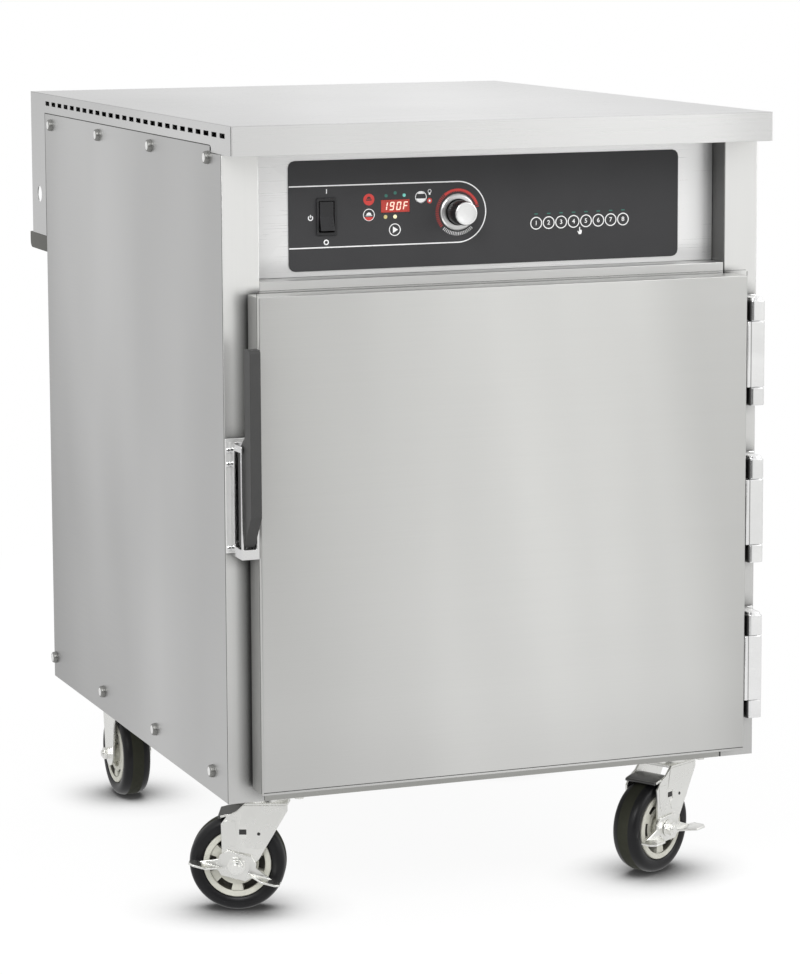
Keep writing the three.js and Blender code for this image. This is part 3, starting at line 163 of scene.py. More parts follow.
def makeCamera(s):
    az, el, roll = (math.radians(s[k]) for k in ("azimuth", "elevation", "roll"))
    back = Vector((math.sin(az) * math.cos(el), -math.cos(az) * math.cos(el), math.sin(el)))
    right = Vector((math.cos(az), math.sin(az), 0))
    up = back.cross(right)
    turnedRight = right * math.cos(roll) + up * math.sin(roll)
    turnedUp = up * math.cos(roll) - right * math.sin(roll)
    data = bpy.data.cameras.new("camera")
    data.lens = s["focalPixels"] * data.sensor_width / s["imageHeight"]
    data.shift_y = (s["centreRow"] - s["imageHeight"] / 2) / s["imageHeight"]
    data.clip_start, data.clip_end = 0.1, 60
    camera = bpy.data.objects.new("camera", data)
    turn = Matrix((turnedRight, turnedUp, back)).transposed().to_4x4()
    camera.matrix_world = Matrix.Translation(s["place"]) @ turn
    scene.collection.objects.link(camera)
    scene.camera = camera


def addLamp(name, place, size, power, target):
    data = bpy.data.lights.new(name, "AREA")
    data.shape = "DISK"
    data.size = size
    data.energy = power
    lamp = bpy.data.objects.new(name, data)
    lamp.location = place
    aim = Vector(target) - Vector(place)
    lamp.rotation_mode = "QUATERNION"
    lamp.rotation_quaternion = aim.to_track_quat("-Z", "Y")
    scene.collection.objects.link(lamp)


def makeWorld(s):
    world = bpy.data.worlds.new("studio")
    scene.world = world
    world.use_nodes = True
    tree = world.node_tree
    tree.nodes.clear()
    around = addNode(tree, "ShaderNodeTexCoord", {}, "Generated")
    height = calc(tree, "MULTIPLY_ADD", addNode(tree, "ShaderNodeSeparateXYZ", {0: around}, "Z"), 0.5, 0.5)
    tone = addRamp(tree, height, list(zip(s["horizon"], (s["skyLow"], s["skyHigh"]))))
    soft = noise(tree, around, s["cardScale"], 0)          # a few darker cards round the studio, for the bright metal
    tone = mixColour(tree, mapRange(tree, soft, *s["cardEdge"]), tone, s["cardTone"])
    for towards, wide, near, patchTone in s["patches"]:
        direction = {0: around, 1: Vector(towards).normalized()}
        facing = addNode(tree, "ShaderNodeVectorMath", direction, "Value", operation="DOT_PRODUCT")
        tone = mixColour(tree, mapRange(tree, facing, wide, near, kind="SMOOTHSTEP"), tone, grey(patchTone))
    lit, mirrored, seen = [addNode(tree, "ShaderNodeBackground", {"Color": colour, "Strength": strength})
                           for colour, strength in ((grey(1), s["skyDiffuse"]), (tone, 1.0), (grey(1), 1.0))]
    path = tree.nodes.new("ShaderNodeLightPath").outputs
    gloss = calc(tree, "MAXIMUM", path["Is Glossy Ray"], path["Is Transmission Ray"])
    shown = mixShader(tree, path["Is Camera Ray"], mixShader(tree, gloss, lit, mirrored), seen)
    addNode(tree, "ShaderNodeOutputWorld", {"Surface": shown})


def makeFloor(s):
    mesh = bpy.data.meshes.new("floor")
    bm = bmesh.new()
    bmesh.ops.create_circle(bm, cap_ends=True, segments=96, radius=s["radius"])
    bm.to_mesh(mesh)
    bm.free()
    floor = bpy.data.objects.new("floor", mesh)
    floor.location.z = -s["drop"]
    scene.collection.objects.link(floor)
    material = bpy.data.materials.new("studioFloor")
    material.use_nodes = True
    tree = material.node_tree
    tree.nodes.clear()
    matt = addNode(tree, "ShaderNodeBsdfDiffuse", {"Color": grey(s["tone"])})
    # painted shadow: the floor's glow is darkened where the occlusion node finds the wheels close by
    near = addNode(tree, "ShaderNodeAmbientOcclusion", {"Distance": s["paintedShadowReach"]}, "AO", samples=12)
    paintedShadow = mixColour(tree, mapRange(tree, near, *s["paintedShadowEdge"]), grey(s["paintedShadowTone"]), grey(1))
    glow = addNode(tree, "ShaderNodeEmission", {"Color": paintedShadow, "Strength": s["glow"]})
    path = tree.nodes.new("ShaderNodeLightPath").outputs
    seen = mixShader(tree, calc(tree, "MULTIPLY", path["Is Camera Ray"], s["glowShare"]), matt, glow)
    mirrored = addNode(tree, "ShaderNodeEmission", {"Color": grey(1), "Strength": s["mirror"]})   # what the metal sees
    addNode(tree, "ShaderNodeOutputMaterial", {"Surface": mixShader(tree, path["Is Glossy Ray"], seen, mirrored)})
    mesh.materials.append(material)


makeCamera(cameraSetup)
makeWorld(lightSetup)
for name, (place, size, power) in lightSetup["lamps"].items():
    addLamp(name, place, size, power, lightSetup["lampAim"])
makeFloor(floorSetup)
scene.view_settings.view_transform = "Standard"
print("camera, floor and light made")


# Shared surface effects

def newGroup(name, inputs, outputs):
    group = bpy.data.node_groups.new(name, "ShaderNodeTree")
    for label, kind, value in inputs:
        socket = group.interface.new_socket(label, in_out="INPUT", socket_type="NodeSocket" + kind)
        socket.default_value = value
    for label in outputs:
        group.interface.new_socket(label, in_out="OUTPUT", socket_type="NodeSocketFloat")
    return group, group.nodes.new("NodeGroupInput").outputs, group.nodes.new("NodeGroupOutput").inputs


def makeGrainGroup():
    group, given, wanted = newGroup("brushedGrain", [
        ("Vector", "Vector", (0, 0, 0)), ("Stretch", "Vector", (20, 900, 900)), ("Streaks", "Vector", (1, 1, 1)),
        ("Amount", "Float", 0.5)], ["Tone", "Height", "Rough"])
    fine = noise(group, stretched(group, given["Vector"], given["Stretch"]), 1.0, 3.0, 0.6)
    broad = noise(group, stretched(group, given["Vector"], given["Streaks"]), 1.0, 1.5, 0.45)
    fineTone = calc(group, "MULTIPLY_ADD", calc(group, "SUBTRACT", fine, 0.5), given["Amount"], 0.5)
    broadTone = calc(group, "MULTIPLY", calc(group, "SUBTRACT", broad, 0.5), 1.4)
    feed(group, wanted["Tone"], calc(group, "ADD", fineTone, broadTone))
    feed(group, wanted["Height"], fine)
    feed(group, wanted["Rough"], calc(group, "SUBTRACT", fine, 0.5))
    return group


def makeSmudgeGroup():
    group, given, wanted = newGroup("handSmudges", [
        ("Vector", "Vector", (0, 0, 0)), ("Scale", "Float", 6.0), ("Amount", "Float", 0.06)], ["Rough", "Mask"])
    cloud = noise(group, given["Vector"], given["Scale"], 3.0, 0.55)
    patch = noise(group, given["Vector"], calc(group, "MULTIPLY", given["Scale"], 0.35), 1.0, 0.5)
    cloud, patch = (calc(group, "SMOOTH_MAX", calc(group, "SUBTRACT", source, level), 0.0, 0.1)
                    for source, level in ((cloud, 0.48), (patch, 0.42)))
    mask = calc(group, "MULTIPLY", calc(group, "MULTIPLY", cloud, patch), 12.0)
    feed(group, wanted["Mask"], mask)
    feed(group, wanted["Rough"], calc(group, "MULTIPLY", mask, given["Amount"]))
    return group


def makeSpeckGroup():
    group, given, wanted = newGroup("mouldedSpeck", [
        ("Vector", "Vector", (0, 0, 0)), ("Scale", "Float", 900.0), ("Cloud", "Float", 14.0)], ["Tone", "Height"])
    speck = noise(group, given["Vector"], given["Scale"], 2.0, 0.6)
    cloud = noise(group, given["Vector"], given["Cloud"], 3.0, 0.6)
    feed(group, wanted["Tone"], calc(group, "MULTIPLY_ADD", speck, 0.35, calc(group, "MULTIPLY", cloud, 0.65)))
    feed(group, wanted["Height"], speck)
    return group


grainGroup, smudgeGroup, speckGroup = makeGrainGroup(), makeSmudgeGroup(), makeSpeckGroup()
bumpDepth = 0.0002


def startMaterial(name):
    material = bpy.data.materials.new(name)
    material.use_nodes = True
    tree = material.node_tree
    return material, tree, tree.nodes["Principled BSDF"].inputs, addNode(tree, "ShaderNodeTexCoord", {}, "Object")


def addGroupNode(tree, group, values):
    node = tree.nodes.new("ShaderNodeGroup")
    node.node_tree = group
    for label, value in values.items():
        feed(tree, node.inputs[label], value)
    return node.outputs


def toneRamp(tree, factor, dark, light):
    return addRamp(tree, factor, [(0.2, dark), (0.8, light)])


def addNormal(tree, surface, height, strength, edge):
    inputs = {"Strength": strength, "Distance": bumpDepth, "Height": height}
    if edge:
        inputs["Normal"] = addNode(tree, "ShaderNodeBevel", {"Radius": edge}, samples=6)
    feed(tree, surface["Normal"], addNode(tree, "ShaderNodeBump", inputs))


def paintedLightBands(tree, coords, colour, bands):
    # painted light and shade laid over the colour in soft bands, not the sheet's own tone: axis, other axis and its
    # share, first and last place, tones between, where it holds
    parts = tree.nodes.new("ShaderNodeSeparateXYZ")
    feed(tree, parts.inputs[0], coords)
    for axis, other, share, first, last, tones, held in bands:
        along = calc(tree, "MULTIPLY_ADD", parts.outputs[other], share, parts.outputs[axis])
        stops = [(i / (len(tones) - 1), grey(tone)) for i, tone in enumerate(tones)]
        paintedBand = addRamp(tree, mapRange(tree, along, first, last), stops, "EASE")
        factor = mapRange(tree, parts.outputs[held[0]], *held[1:]) if held else 1.0
        colour = mixColour(tree, factor, colour, paintedBand, "MULTIPLY")
    return colour


def creviceShade(tree, coords, colour, reach, deepest, fadeFrom, fadeTo):
    # the soft dark edge beside the door, fading out above it
    near = addNode(tree, "ShaderNodeAmbientOcclusion", {"Distance": reach}, "AO", samples=8)
    height = addNode(tree, "ShaderNodeSeparateXYZ", {0: coords}, "Z")
    fade = mapRange(tree, height, fadeFrom, fadeTo)
    return mixColour(tree, fade, colour, mapRange(tree, near, 0.5, 1.0, deepest), "MULTIPLY")


def brushedMetal(name, tint, roughness, stretch, streaks, spread, amount, metal=1.0, bump=0.05, bands=(), crevice=None):
    material, tree, surface, coords = startMaterial(name)
    grain = addGroupNode(tree, grainGroup, {"Vector": coords, "Stretch": stretch, "Streaks": streaks, "Amount": amount})
    smudge = addGroupNode(tree, smudgeGroup, {"Vector": coords, "Scale": 7.0, "Amount": 0.05})
    dark = [c * (1 - spread) for c in tint]
    light = [min(1, c * (1 + spread)) for c in tint]
    # the base colour carries the painted light and shade of the bands
    colour = paintedLightBands(tree, coords, toneRamp(tree, grain["Tone"], dark, light), bands)
    if crevice:
        colour = creviceShade(tree, coords, colour, *crevice)
    feed(tree, surface["Base Color"], colour)
    rough = calc(tree, "MULTIPLY_ADD", grain["Rough"], 0.18, roughness)
    feed(tree, surface["Roughness"], calc(tree, "ADD", rough, smudge["Rough"]))
    feed(tree, surface["Metallic"], metal)
    addNormal(tree, surface, grain["Height"], bump, 0.0009)
    return material


def mouldedPlastic(name, dark, light, roughness, scale, cloud, bump, edge=0.0005, coat=0.0, shine=0.5):
    material, tree, surface, coords = startMaterial(name)
    speck = addGroupNode(tree, speckGroup, {"Vector": coords, "Scale": scale, "Cloud": cloud})
    smudge = addGroupNode(tree, smudgeGroup, {"Vector": coords, "Scale": 12.0, "Amount": 0.06})
    feed(tree, surface["Base Color"], toneRamp(tree, speck["Tone"], dark, light))
    rough = calc(tree, "MULTIPLY_ADD", speck["Tone"], 0.1, roughness - 0.05)
    feed(tree, surface["Roughness"], calc(tree, "ADD", rough, smudge["Rough"]))
    feed(tree, surface["Coat Weight"], coat)
    feed(tree, surface["Specular IOR Level"], shine)
    addNormal(tree, surface, speck["Height"], bump, edge)
    return material


def litPrint(name, dark, light, glow):
    material, tree, surface, coords = startMaterial(name)
    speck = addGroupNode(tree, speckGroup, {"Vector": coords, "Scale": 1400.0, "Cloud": 220.0})
    colour = toneRamp(tree, speck["Tone"], dark, light)
    values = {"Base Color": colour, "Emission Color": colour, "Emission Strength": glow, "Roughness": 0.35}
    for label, value in values.items():
        feed(tree, surface[label], value)
    return material


def spunMetal(name, tint, roughness, middle, pitch, metal):
    material, tree, surface, coords = startMaterial(name)
    shift = addNode(tree, "ShaderNodeVectorMath", {0: coords, 1: middle}, operation="SUBTRACT")
    flat = stretched(tree, shift, (1.0, 0.0, 1.0))
    away = addNode(tree, "ShaderNodeVectorMath", {0: flat}, "Value", operation="LENGTH")
    ring = noise(tree, addNode(tree, "ShaderNodeCombineXYZ", {"X": away}), pitch, 2.0, 0.6)      # fine turning rings
    blotch = noise(tree, coords, 60.0, 2.0, 0.5)
    tone = calc(tree, "MULTIPLY_ADD", blotch, 0.4, calc(tree, "MULTIPLY", ring, 0.6))
    feed(tree, surface["Base Color"], toneRamp(tree, tone, [c * 0.88 for c in tint], tint))
    feed(tree, surface["Roughness"], calc(tree, "MULTIPLY_ADD", ring, 0.16, roughness - 0.08))
    feed(tree, surface["Metallic"], metal)
    addNormal(tree, surface, ring, 0.12, 0.0003)
    return material


alongX, alongY, alongZ = (6, 900, 1400), (1400, 6, 900), (1400, 900, 6)
steepX, steepY, softStreaks = (5.0, 0.6, 0.9), (0.6, 5.0, 0.9), (3, 3, 0.8)
dialMiddle = (-0.03135, 0.0, 0.951)
# painted reflection streaks across the door, and painted shade towards its bottom and on its left side face
doorPaintedLight = [
    ("X", "Z", 0.238, -0.2, 0.6, (0.93, 1.0, 0.93, 1.0, 1.0, 1.0, 0.95), None),
    ("X", "Z", 0.15, -0.21, 0.415, (0.93, 0.91, 0.99, 0.96, 0.89, 0.82, 0.69), None),
    ("Z", "X", 0.0, 0.19, 0.45, (0.90, 0.98, 1.0), None),
    ("Z", "X", 0.0, 0.0, 1.0, (0.80, 0.80), ("X", -0.3425, -0.3435)),
]
# painted reflection streaks along the side panels, and painted shade towards their bottom
sidePaintedLight = [
    ("Y", "Z", 0.2, -0.45, 0.65, (1.0, 0.94, 1.0, 0.95, 1.0, 0.97, 0.92), None),
    ("Y", "Z", -0.467, -0.9, 0.3, (0.87, 0.92, 0.95, 1.0, 0.91, 0.80, 0.69), None),
    ("Z", "Y", 0.0, 0.2, 1.05, (0.90, 0.92, 0.98, 1.0, 1.0), None),
]
# painted reflection across the cover's top and front, and painted shade on the top face and on the left skirt towards
# the back
coverPaintedLight = [
    ("X", "Y", 0.0, -0.376, 0.40, (0.86, 0.97, 1.0, 0.95), None),
    ("X", "Y", -0.35, -0.5, 0.55, (0.78, 0.79, 0.84, 0.95, 1.0, 0.94, 0.90, 0.85), ("Z", 1.0776, 1.0788)),
    ("Z", "Y", 0.0, 0.0, 1.0, (0.93, 0.93), ("Z", 1.0776, 1.0788)),
    ("X", "Y", 0.0, -0.376, 0.40, (1.0, 0.99, 0.95, 0.98, 1.0, 1.0, 1.0, 0.82), ("Y", -0.4858, -0.4864)),
    ("Y", "X", 0.0, -0.47, 0.47, (1.0, 1.0, 0.97, 0.93, 0.90, 0.87, 0.84), ("X", -0.3735, -0.3748)),
]
# painted shade on the posts: darker low down beside the door, a little darker to the right, and a dark strip at the
# door gap
postPaintedShade = [
    ("Z", "X", 0.0, 0.17, 1.04, (0.74, 0.84, 0.92, 1.0, 1.0), None),
    ("X", "Z", 0.0, -0.3, 0.3, (0.93, 0.86), None),
    ("X", "Z", 0.0, 0.3470, 0.3515, (1.0, 0.20, 0.20, 1.0), None),
]
# painted reflection on the fascia, darker at both ends and most at the right, and painted shade along its lower edge
fasciaPaintedLight = [
    ("X", "Z", 0.0, -0.33, 0.33, (0.88, 0.95, 1.0, 1.0), None),
    ("X", "Z", 0.0, 0.332, 0.352, (1.0, 0.92, 0.66, 0.40), None),
    ("Z", "X", 0.0, 0.880, 0.904, (0.78, 1.0), None),
]
# painted shadow beside the hinge knuckles, on the frame leaves and as a strip on the door leaves
hingeFramePaintedShadow = [("Z", "X", 0.0, 0.0, 1.0, (0.10, 0.10), ("X", 0.3704, 0.3696))]
hingeLeafPaintedShade = [("X", "Z", 0.0, 0.3672, 0.3694, (1.0, 0.38, 0.38, 1.0), None)]
postCrevice = (0.022, 0.19, 0.868, 0.860)

metals = {                         # tint, roughness, grain, streaks, spread of the tint, share of the grain, and what differs
    "doorSteel": ((0.93, 0.93, 0.91), 0.34, alongX, steepX, 0.05, 0.3, {"bump": 0.035, "bands": doorPaintedLight}),
    # the side panels get a darker copy of the cabinet steel: painted shade
    "sideSteel": ((0.73, 0.73, 0.725), 0.36, alongY, steepY, 0.05, 0.3, {"bump": 0.035, "bands": sidePaintedLight}),
    "backSteel": ((0.64, 0.64, 0.635), 0.36, alongX, steepX, 0.05, 0.3, {"bump": 0.035}),
    "strikePlate": ((0.84, 0.84, 0.83), 0.34, (60, 60, 60), (6, 6, 6), 0.04, 0.3, {"metal": 0.45, "bump": 0.02}),
    # the base pan gets a darker copy of the cabinet steel: painted shade under the door
    "sillSteel": ((0.46, 0.46, 0.44), 0.36, alongX, softStreaks, 0.06, 0.4, {}),
    "coverSteel": ((0.955, 0.955, 0.95), 0.30, alongX, (2.4, 2.4, 2.4), 0.04, 0.35, {"bands": coverPaintedLight}),
    "postSteel": ((0.93, 0.93, 0.915), 0.32, alongZ, softStreaks, 0.05, 0.4,
                  {"metal": 0.78, "bands": postPaintedShade, "crevice": postCrevice}),
    "cavitySteel": ((0.66, 0.66, 0.65), 0.34, alongY, (3, 3, 3), 0.08, 0.4, {}),
    "barSteel": ((0.145, 0.145, 0.13), 0.42, alongX, (3, 3, 3), 0.10, 0.4, {}),
    "chromePlate": ((0.86, 0.86, 0.86), 0.14, (60, 60, 60), (6, 6, 6), 0.03, 0.3, {"bump": 0.02}),
    "zincPlate": ((0.90, 0.90, 0.87), 0.28, (40, 40, 40), (9, 9, 9), 0.05, 0.4, {"bump": 0.02}),
    "zincBright": ((0.95, 0.95, 0.92), 0.2, (60, 60, 60), (14, 14, 14), 0.04, 0.4, {"bump": 0.02}),
    "brakeGrey": ((0.13, 0.13, 0.13), 0.34, (90, 90, 90), (14, 14, 14), 0.15, 0.4, {"metal": 0.8, "bump": 0.04}),
    "hingeFrame": ((0.95, 0.95, 0.95), 0.18, (60, 60, 700), (3, 3, 26), 0.05, 0.5,
                   {"metal": 0.88, "bump": 0.02, "bands": hingeFramePaintedShadow}),
    "hingeLeaf": ((0.96, 0.96, 0.96), 0.18, (60, 60, 700), (3, 3, 26), 0.05, 0.5,
                  {"metal": 0.88, "bump": 0.02, "bands": hingeLeafPaintedShade}),
    "railSteel": ((0.70, 0.70, 0.69), 0.32, alongX, softStreaks, 0.06, 0.4, {}),
    "fasciaSteel": ((0.97, 0.97, 0.96), 0.30, alongX, softStreaks, 0.05, 0.4, {"metal": 0.6, "bands": fasciaPaintedLight}),
    # the screws get a dark copy of their steel on the walls, painted shade, and a light copy on the faces, painted
    # light
    "screwSteel": ((0.26, 0.26, 0.25), 0.34, (80, 80, 80), (20, 20, 20), 0.06, 0.4, {"metal": 0.8, "bump": 0.02}),
    "screwFace": ((0.86, 0.86, 0.85), 0.34, (80, 80, 80), (20, 20, 20), 0.04, 0.4, {"metal": 0.35, "bump": 0.02}),
    "shelfWire": ((0.80, 0.80, 0.79), 0.22, (60, 60, 60), (8, 8, 8), 0.05, 0.4, {"bump": 0.02}),
    "motorGrey": ((0.16, 0.165, 0.17), 0.5, (200, 200, 200), (10, 10, 10), 0.15, 0.5, {"metal": 0.7}),
    "elementSteel": ((0.30, 0.28, 0.26), 0.42, (200, 200, 200), (12, 12, 12), 0.2, 0.6, {}),
}

plastics = {                       # darkest and lightest tone, roughness, speck and cloud scale, bump, and what differs
    "overlayBlack": ((0.034, 0.034, 0.036), (0.046, 0.046, 0.048), 0.6, 1600, 9, 0.05, {"shine": 0.4}),
    "glossBlack": ((0.010, 0.010, 0.011), (0.022, 0.022, 0.024), 0.28, 800, 30, 0.03, {}),
    "handleBlack": ((0.034, 0.034, 0.034), (0.054, 0.054, 0.053), 0.5, 1100, 20, 0.12, {}),
    "displayRed": ((0.42, 0.030, 0.020), (0.56, 0.045, 0.030), 0.22, 700, 60, 0.02, {"coat": 0.4}),
    "tyreRubber": ((0.006, 0.006, 0.007), (0.012, 0.012, 0.013), 0.36, 420, 40, 0.06, {"shine": 0.28}),
    "treadBrown": ((0.026, 0.027, 0.018), (0.044, 0.045, 0.032), 0.8, 420, 30, 0.2, {"shine": 0.25}),
    "coreResin": ((0.56, 0.555, 0.485), (0.74, 0.735, 0.655), 0.5, 500, 30, 0.06, {}),
    "coreShade": ((0.055, 0.052, 0.042), (0.10, 0.095, 0.078), 0.7, 500, 30, 0.06, {}),
    "seamShade": ((0.030, 0.030, 0.030), (0.060, 0.060, 0.058), 0.8, 900, 30, 0.04, {"edge": 0}),
    "gasketRubber": ((0.012, 0.012, 0.012), (0.028, 0.028, 0.027), 0.75, 900, 30, 0.12, {}),
    "insulation": ((0.50, 0.42, 0.24), (0.68, 0.60, 0.40), 0.95, 260, 60, 0.6, {}),
    "boardGreen": ((0.015, 0.07, 0.03), (0.03, 0.12, 0.055), 0.5, 400, 80, 0.08, {}),
    "printWhite": ((0.86, 0.86, 0.86), (0.96, 0.96, 0.96), 0.5, 1500, 80, 0.04, {"edge": 0}),
    "printRed": ((0.56, 0.038, 0.032), (0.72, 0.065, 0.055), 0.4, 1500, 80, 0.04, {"edge": 0}),
    "printTeal": ((0.03, 0.14, 0.11), (0.05, 0.20, 0.16), 0.4, 1500, 80, 0.04, {"edge": 0}),
    "printAmber": ((0.50, 0.42, 0.14), (0.72, 0.64, 0.30), 0.35, 1500, 80, 0.04, {"edge": 0}),
}

lamps = {                          # darkest and lightest tone, and how much it glows
    "lampTeal": ((0.10, 0.42, 0.36), (0.22, 0.62, 0.54), 0.25),
    "lampAmber": ((0.86, 0.80, 0.42), (0.98, 0.95, 0.66), 0.2),
    "digitGlow": ((0.95, 0.62, 0.50), (1.0, 0.78, 0.66), 0.35),
}

finish = {
    "spunDial": spunMetal("spunDial", (0.80, 0.80, 0.80), 0.30, dialMiddle, 2600, 1.0),
    "spunCap": spunMetal("spunCap", (0.97, 0.97, 0.97), 0.26, dialMiddle, 2600, 0.7),
}
for make, table in ((brushedMetal, metals), (mouldedPlastic, plastics)):
    for name, row in table.items():
        finish[name] = make(name, *row[:-1], **row[-1])
for name, row in lamps.items():
    finish[name] = litPrint(name, *row)

hinges = ("lower_hinge_", "middle_hinge_", "upper_hinge_")
nodeFinish = {                     # finish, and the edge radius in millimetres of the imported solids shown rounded
    ("doorSteel", 0.5): ["door_skin"],
    ("sideSteel", None): ["left_side_panel", "right_side_panel"],
    ("backSteel", 0.5): ["back_panel"],
    ("railSteel", 0.6): ["control_rail"],
    ("fasciaSteel", 0.5): ["control_fascia"],
    ("sillSteel", 0.7): ["base_pan"],
    ("coverSteel", None): ["top_cover"],
    ("postSteel", 0.6): ["left_post", "right_post"],
    ("barSteel", 0.7): ["rear_bar"],
    ("cavitySteel", None): ["lower_shelf", "upper_shelf", "air_baffle"],
    ("cavitySteel", 0.5): ["cavity_liner"],
    ("cavitySteel", 0.4): ["door_liner", "left_rack", "right_rack"],
    ("cavitySteel", 0.3): ["fan_wheel"],
    ("chromePlate", 0.7): ["latch_housing"],
    ("strikePlate", 0.7): ["latch_strike"],
    ("hingeFrame", 1.1): [place + "frame_leaf" for place in hinges],
    ("hingeLeaf", 1.1): [place + "door_leaf" for place in hinges],
    ("zincPlate", 0.6): ["front_left_caster_plate", "front_right_caster_plate"],
    ("zincPlate", 0.7): ["rear_left_caster_bracket", "rear_right_caster_bracket"],
    ("zincPlate", 0.9): ["front_left_brake_lever", "front_right_brake_lever"],
    ("spunDial", None): ["dial_ring"],
    ("spunCap", None): ["knob_cap"],
    ("overlayBlack", None): ["control_overlay"],
    ("glossBlack", None): ["control_knob"],
    ("glossBlack", 0.6): ["switch_bezel"],
    ("glossBlack", 0.8): ["switch_rocker"],
    ("handleBlack", 2.0): ["latch_handle"],
    ("displayRed", 0.3): ["display_window"],
    ("gasketRubber", None): ["door_gasket", "cord_inlet"],
    ("insulation", None): ["door_insulation"],
    ("boardGreen", None): ["control_board"],
    ("motorGrey", None): ["fan_motor"],
    ("elementSteel", None): ["heating_element"],
}
wheelFinish = {"_tyre": "tyreRubber", "_wheel_core": "coreResin", "_caster_fork": "zincPlate", "_axle_bolt": "zincBright"}
finishOf = {nodeName: label for (label, _), members in nodeFinish.items() for nodeName in members}

for nodeName, node in nodes.items():
    label = finishOf.get(nodeName) or next(wheelFinish[end] for end in wheelFinish if nodeName.endswith(end))
    node.data.materials.clear()
    node.data.materials.append(finish[label])

print("surface finishes made:", len(finish))


# Mesh helpers. Outlines and places are in millimetres of the cabinet's own measure, whose middle is middleX.

middleX = 11.8471 * mm
toCabinet = Matrix.Translation((middleX, 0, 0))
unmoved = Matrix.Identity(4)
turnAxis = {                       # turns the helper's own z to the wanted direction
    "x": Matrix(((0, 0, 1, 0), (1, 0, 0, 0), (0, 1, 0, 0), (0, 0, 0, 1))),
    "y": Matrix(((1, 0, 0, 0), (0, 0, 1, 0), (0, 1, 0, 0), (0, 0, 0, 1))),
    "z": unmoved,
}


def placeAt(x=0.0, y=0.0, z=0.0):
    return toCabinet @ Matrix.Translation((x * mm, y * mm, z * mm))


def addPrism(bm, outline, axis, start, end, place=toCabinet, tag=0):
    turn = place @ turnAxis[axis]
    rings = [[bm.verts.new(turn @ Vector((u * mm, v * mm, w * mm))) for u, v in outline] for w in (start, end)]
    count = len(outline)
    faces = [bm.faces.new(rings[0]), bm.faces.new(rings[1])]
    for i in range(count):
        j = (i + 1) % count
        faces.append(bm.faces.new((rings[0][i], rings[0][j], rings[1][j], rings[1][i])))
    for face in faces:
        face.material_index = tag
    bmesh.ops.recalc_face_normals(bm, faces=faces)


def addBlock(bm, x0, x1, y0, y1, z0, z1, place=toCabinet):
    addPrism(bm, [(x0, y0), (x1, y0), (x1, y1), (x0, y1)], "z", z0, z1, place)


def addLathe(bm, profile, axis, place=toCabinet, segments=96, closed=False, tags=None):
    turn = place @ turnAxis[axis]
    rings = []
    for radius, along in profile:
        steps = 1 if radius < 1e-6 else segments
        angles = [2 * math.pi * i / segments for i in range(steps)]
        rings.append([bm.verts.new(turn @ Vector((radius * mm * math.cos(a), radius * mm * math.sin(a), along * mm)))
                      for a in angles])
    faces = []
    spans = list(zip(rings, rings[1:]))
    if closed:
        spans.append((rings[-1], rings[0]))
    for k, (a, b) in enumerate(spans):
        for i in range(segments):
            j = (i + 1) % segments
            if len(a) == 1:
                corners = (a[0], b[i], b[j])
            elif len(b) == 1:
                corners = (a[i], a[j], b[0])
            else:
                corners = (a[i], a[j], b[j], b[i])
            face = bm.faces.new(corners)
            face.material_index = tags[k] if tags else 0
            faces.append(face)
    bmesh.ops.recalc_face_normals(bm, faces=faces)


def arcPoints(cu, cv, radius, start, end, steps):
    angles = [math.radians(start + (end - start) * i / steps) for i in range(steps + 1)]
    return [(cu + radius * math.cos(a), cv + radius * math.sin(a)) for a in angles]


def across(edge, side, sunk, proud):
    return sorted((edge - side * sunk, edge + side * proud))


def ribbon(bm, points, width, start, end, axis="y"):
    left, right = [], []
    for i, (u, v) in enumerate(points):
        before, after = points[max(i - 1, 0)], points[min(i + 1, len(points) - 1)]
        along = Vector((after[0] - before[0], after[1] - before[1])).normalized()
        left.append((u - along.y * width / 2, v + along.x * width / 2))
        right.append((u + along.y * width / 2, v - along.x * width / 2))
    for i in range(len(points) - 1):
        addPrism(bm, [left[i], left[i + 1], right[i + 1], right[i]], axis, start, end)


def addBevel(piece, width, segments=2, angle=40):
    bevel = piece.modifiers.new("softEdges", "BEVEL")
    bevel.width = width * mm
    bevel.segments = segments
    bevel.limit_method = "ANGLE"
    bevel.angle_limit = math.radians(angle)
    bevel.use_clamp_overlap = True
    bevel.miter_outer = "MITER_ARC"


def showPiece(name, bm, body, materials, replaced=(), smooth=32, bevel=None):
    mesh = bpy.data.meshes.new(name)
    bm.normal_update()
    bm.to_mesh(mesh)
    bm.free()
    for label in materials:
        mesh.materials.append(finish[label])
    mesh.shade_smooth()
    mesh.set_sharp_from_angle(angle=math.radians(smooth))
    piece = bpy.data.objects.new(name, mesh)
    scene.collection.objects.link(piece)
    if bevel:
        addBevel(piece, *bevel)
    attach(piece, body)
    if replaced:
        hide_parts(*replaced)
    return piece


def mergedCopy(nodeName):
    bm = bmesh.new()
    bm.from_mesh(nodes[nodeName].data)
    bmesh.ops.remove_doubles(bm, verts=bm.verts, dist=2e-6)
    bmesh.ops.dissolve_limit(bm, angle_limit=math.radians(0.6), verts=bm.verts, edges=bm.edges)
    for face in bm.faces:
        face.material_index = 0
    return bm


def softened(nodeName, material, *bevel):
    body = nodes[nodeName]["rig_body"]
    showPiece(nodeName + "_softened", mergedCopy(nodeName), body, [material], [nodeName], bevel=bevel)


# Geometry node tree for what repeats, in a row or round the front-to-back axis

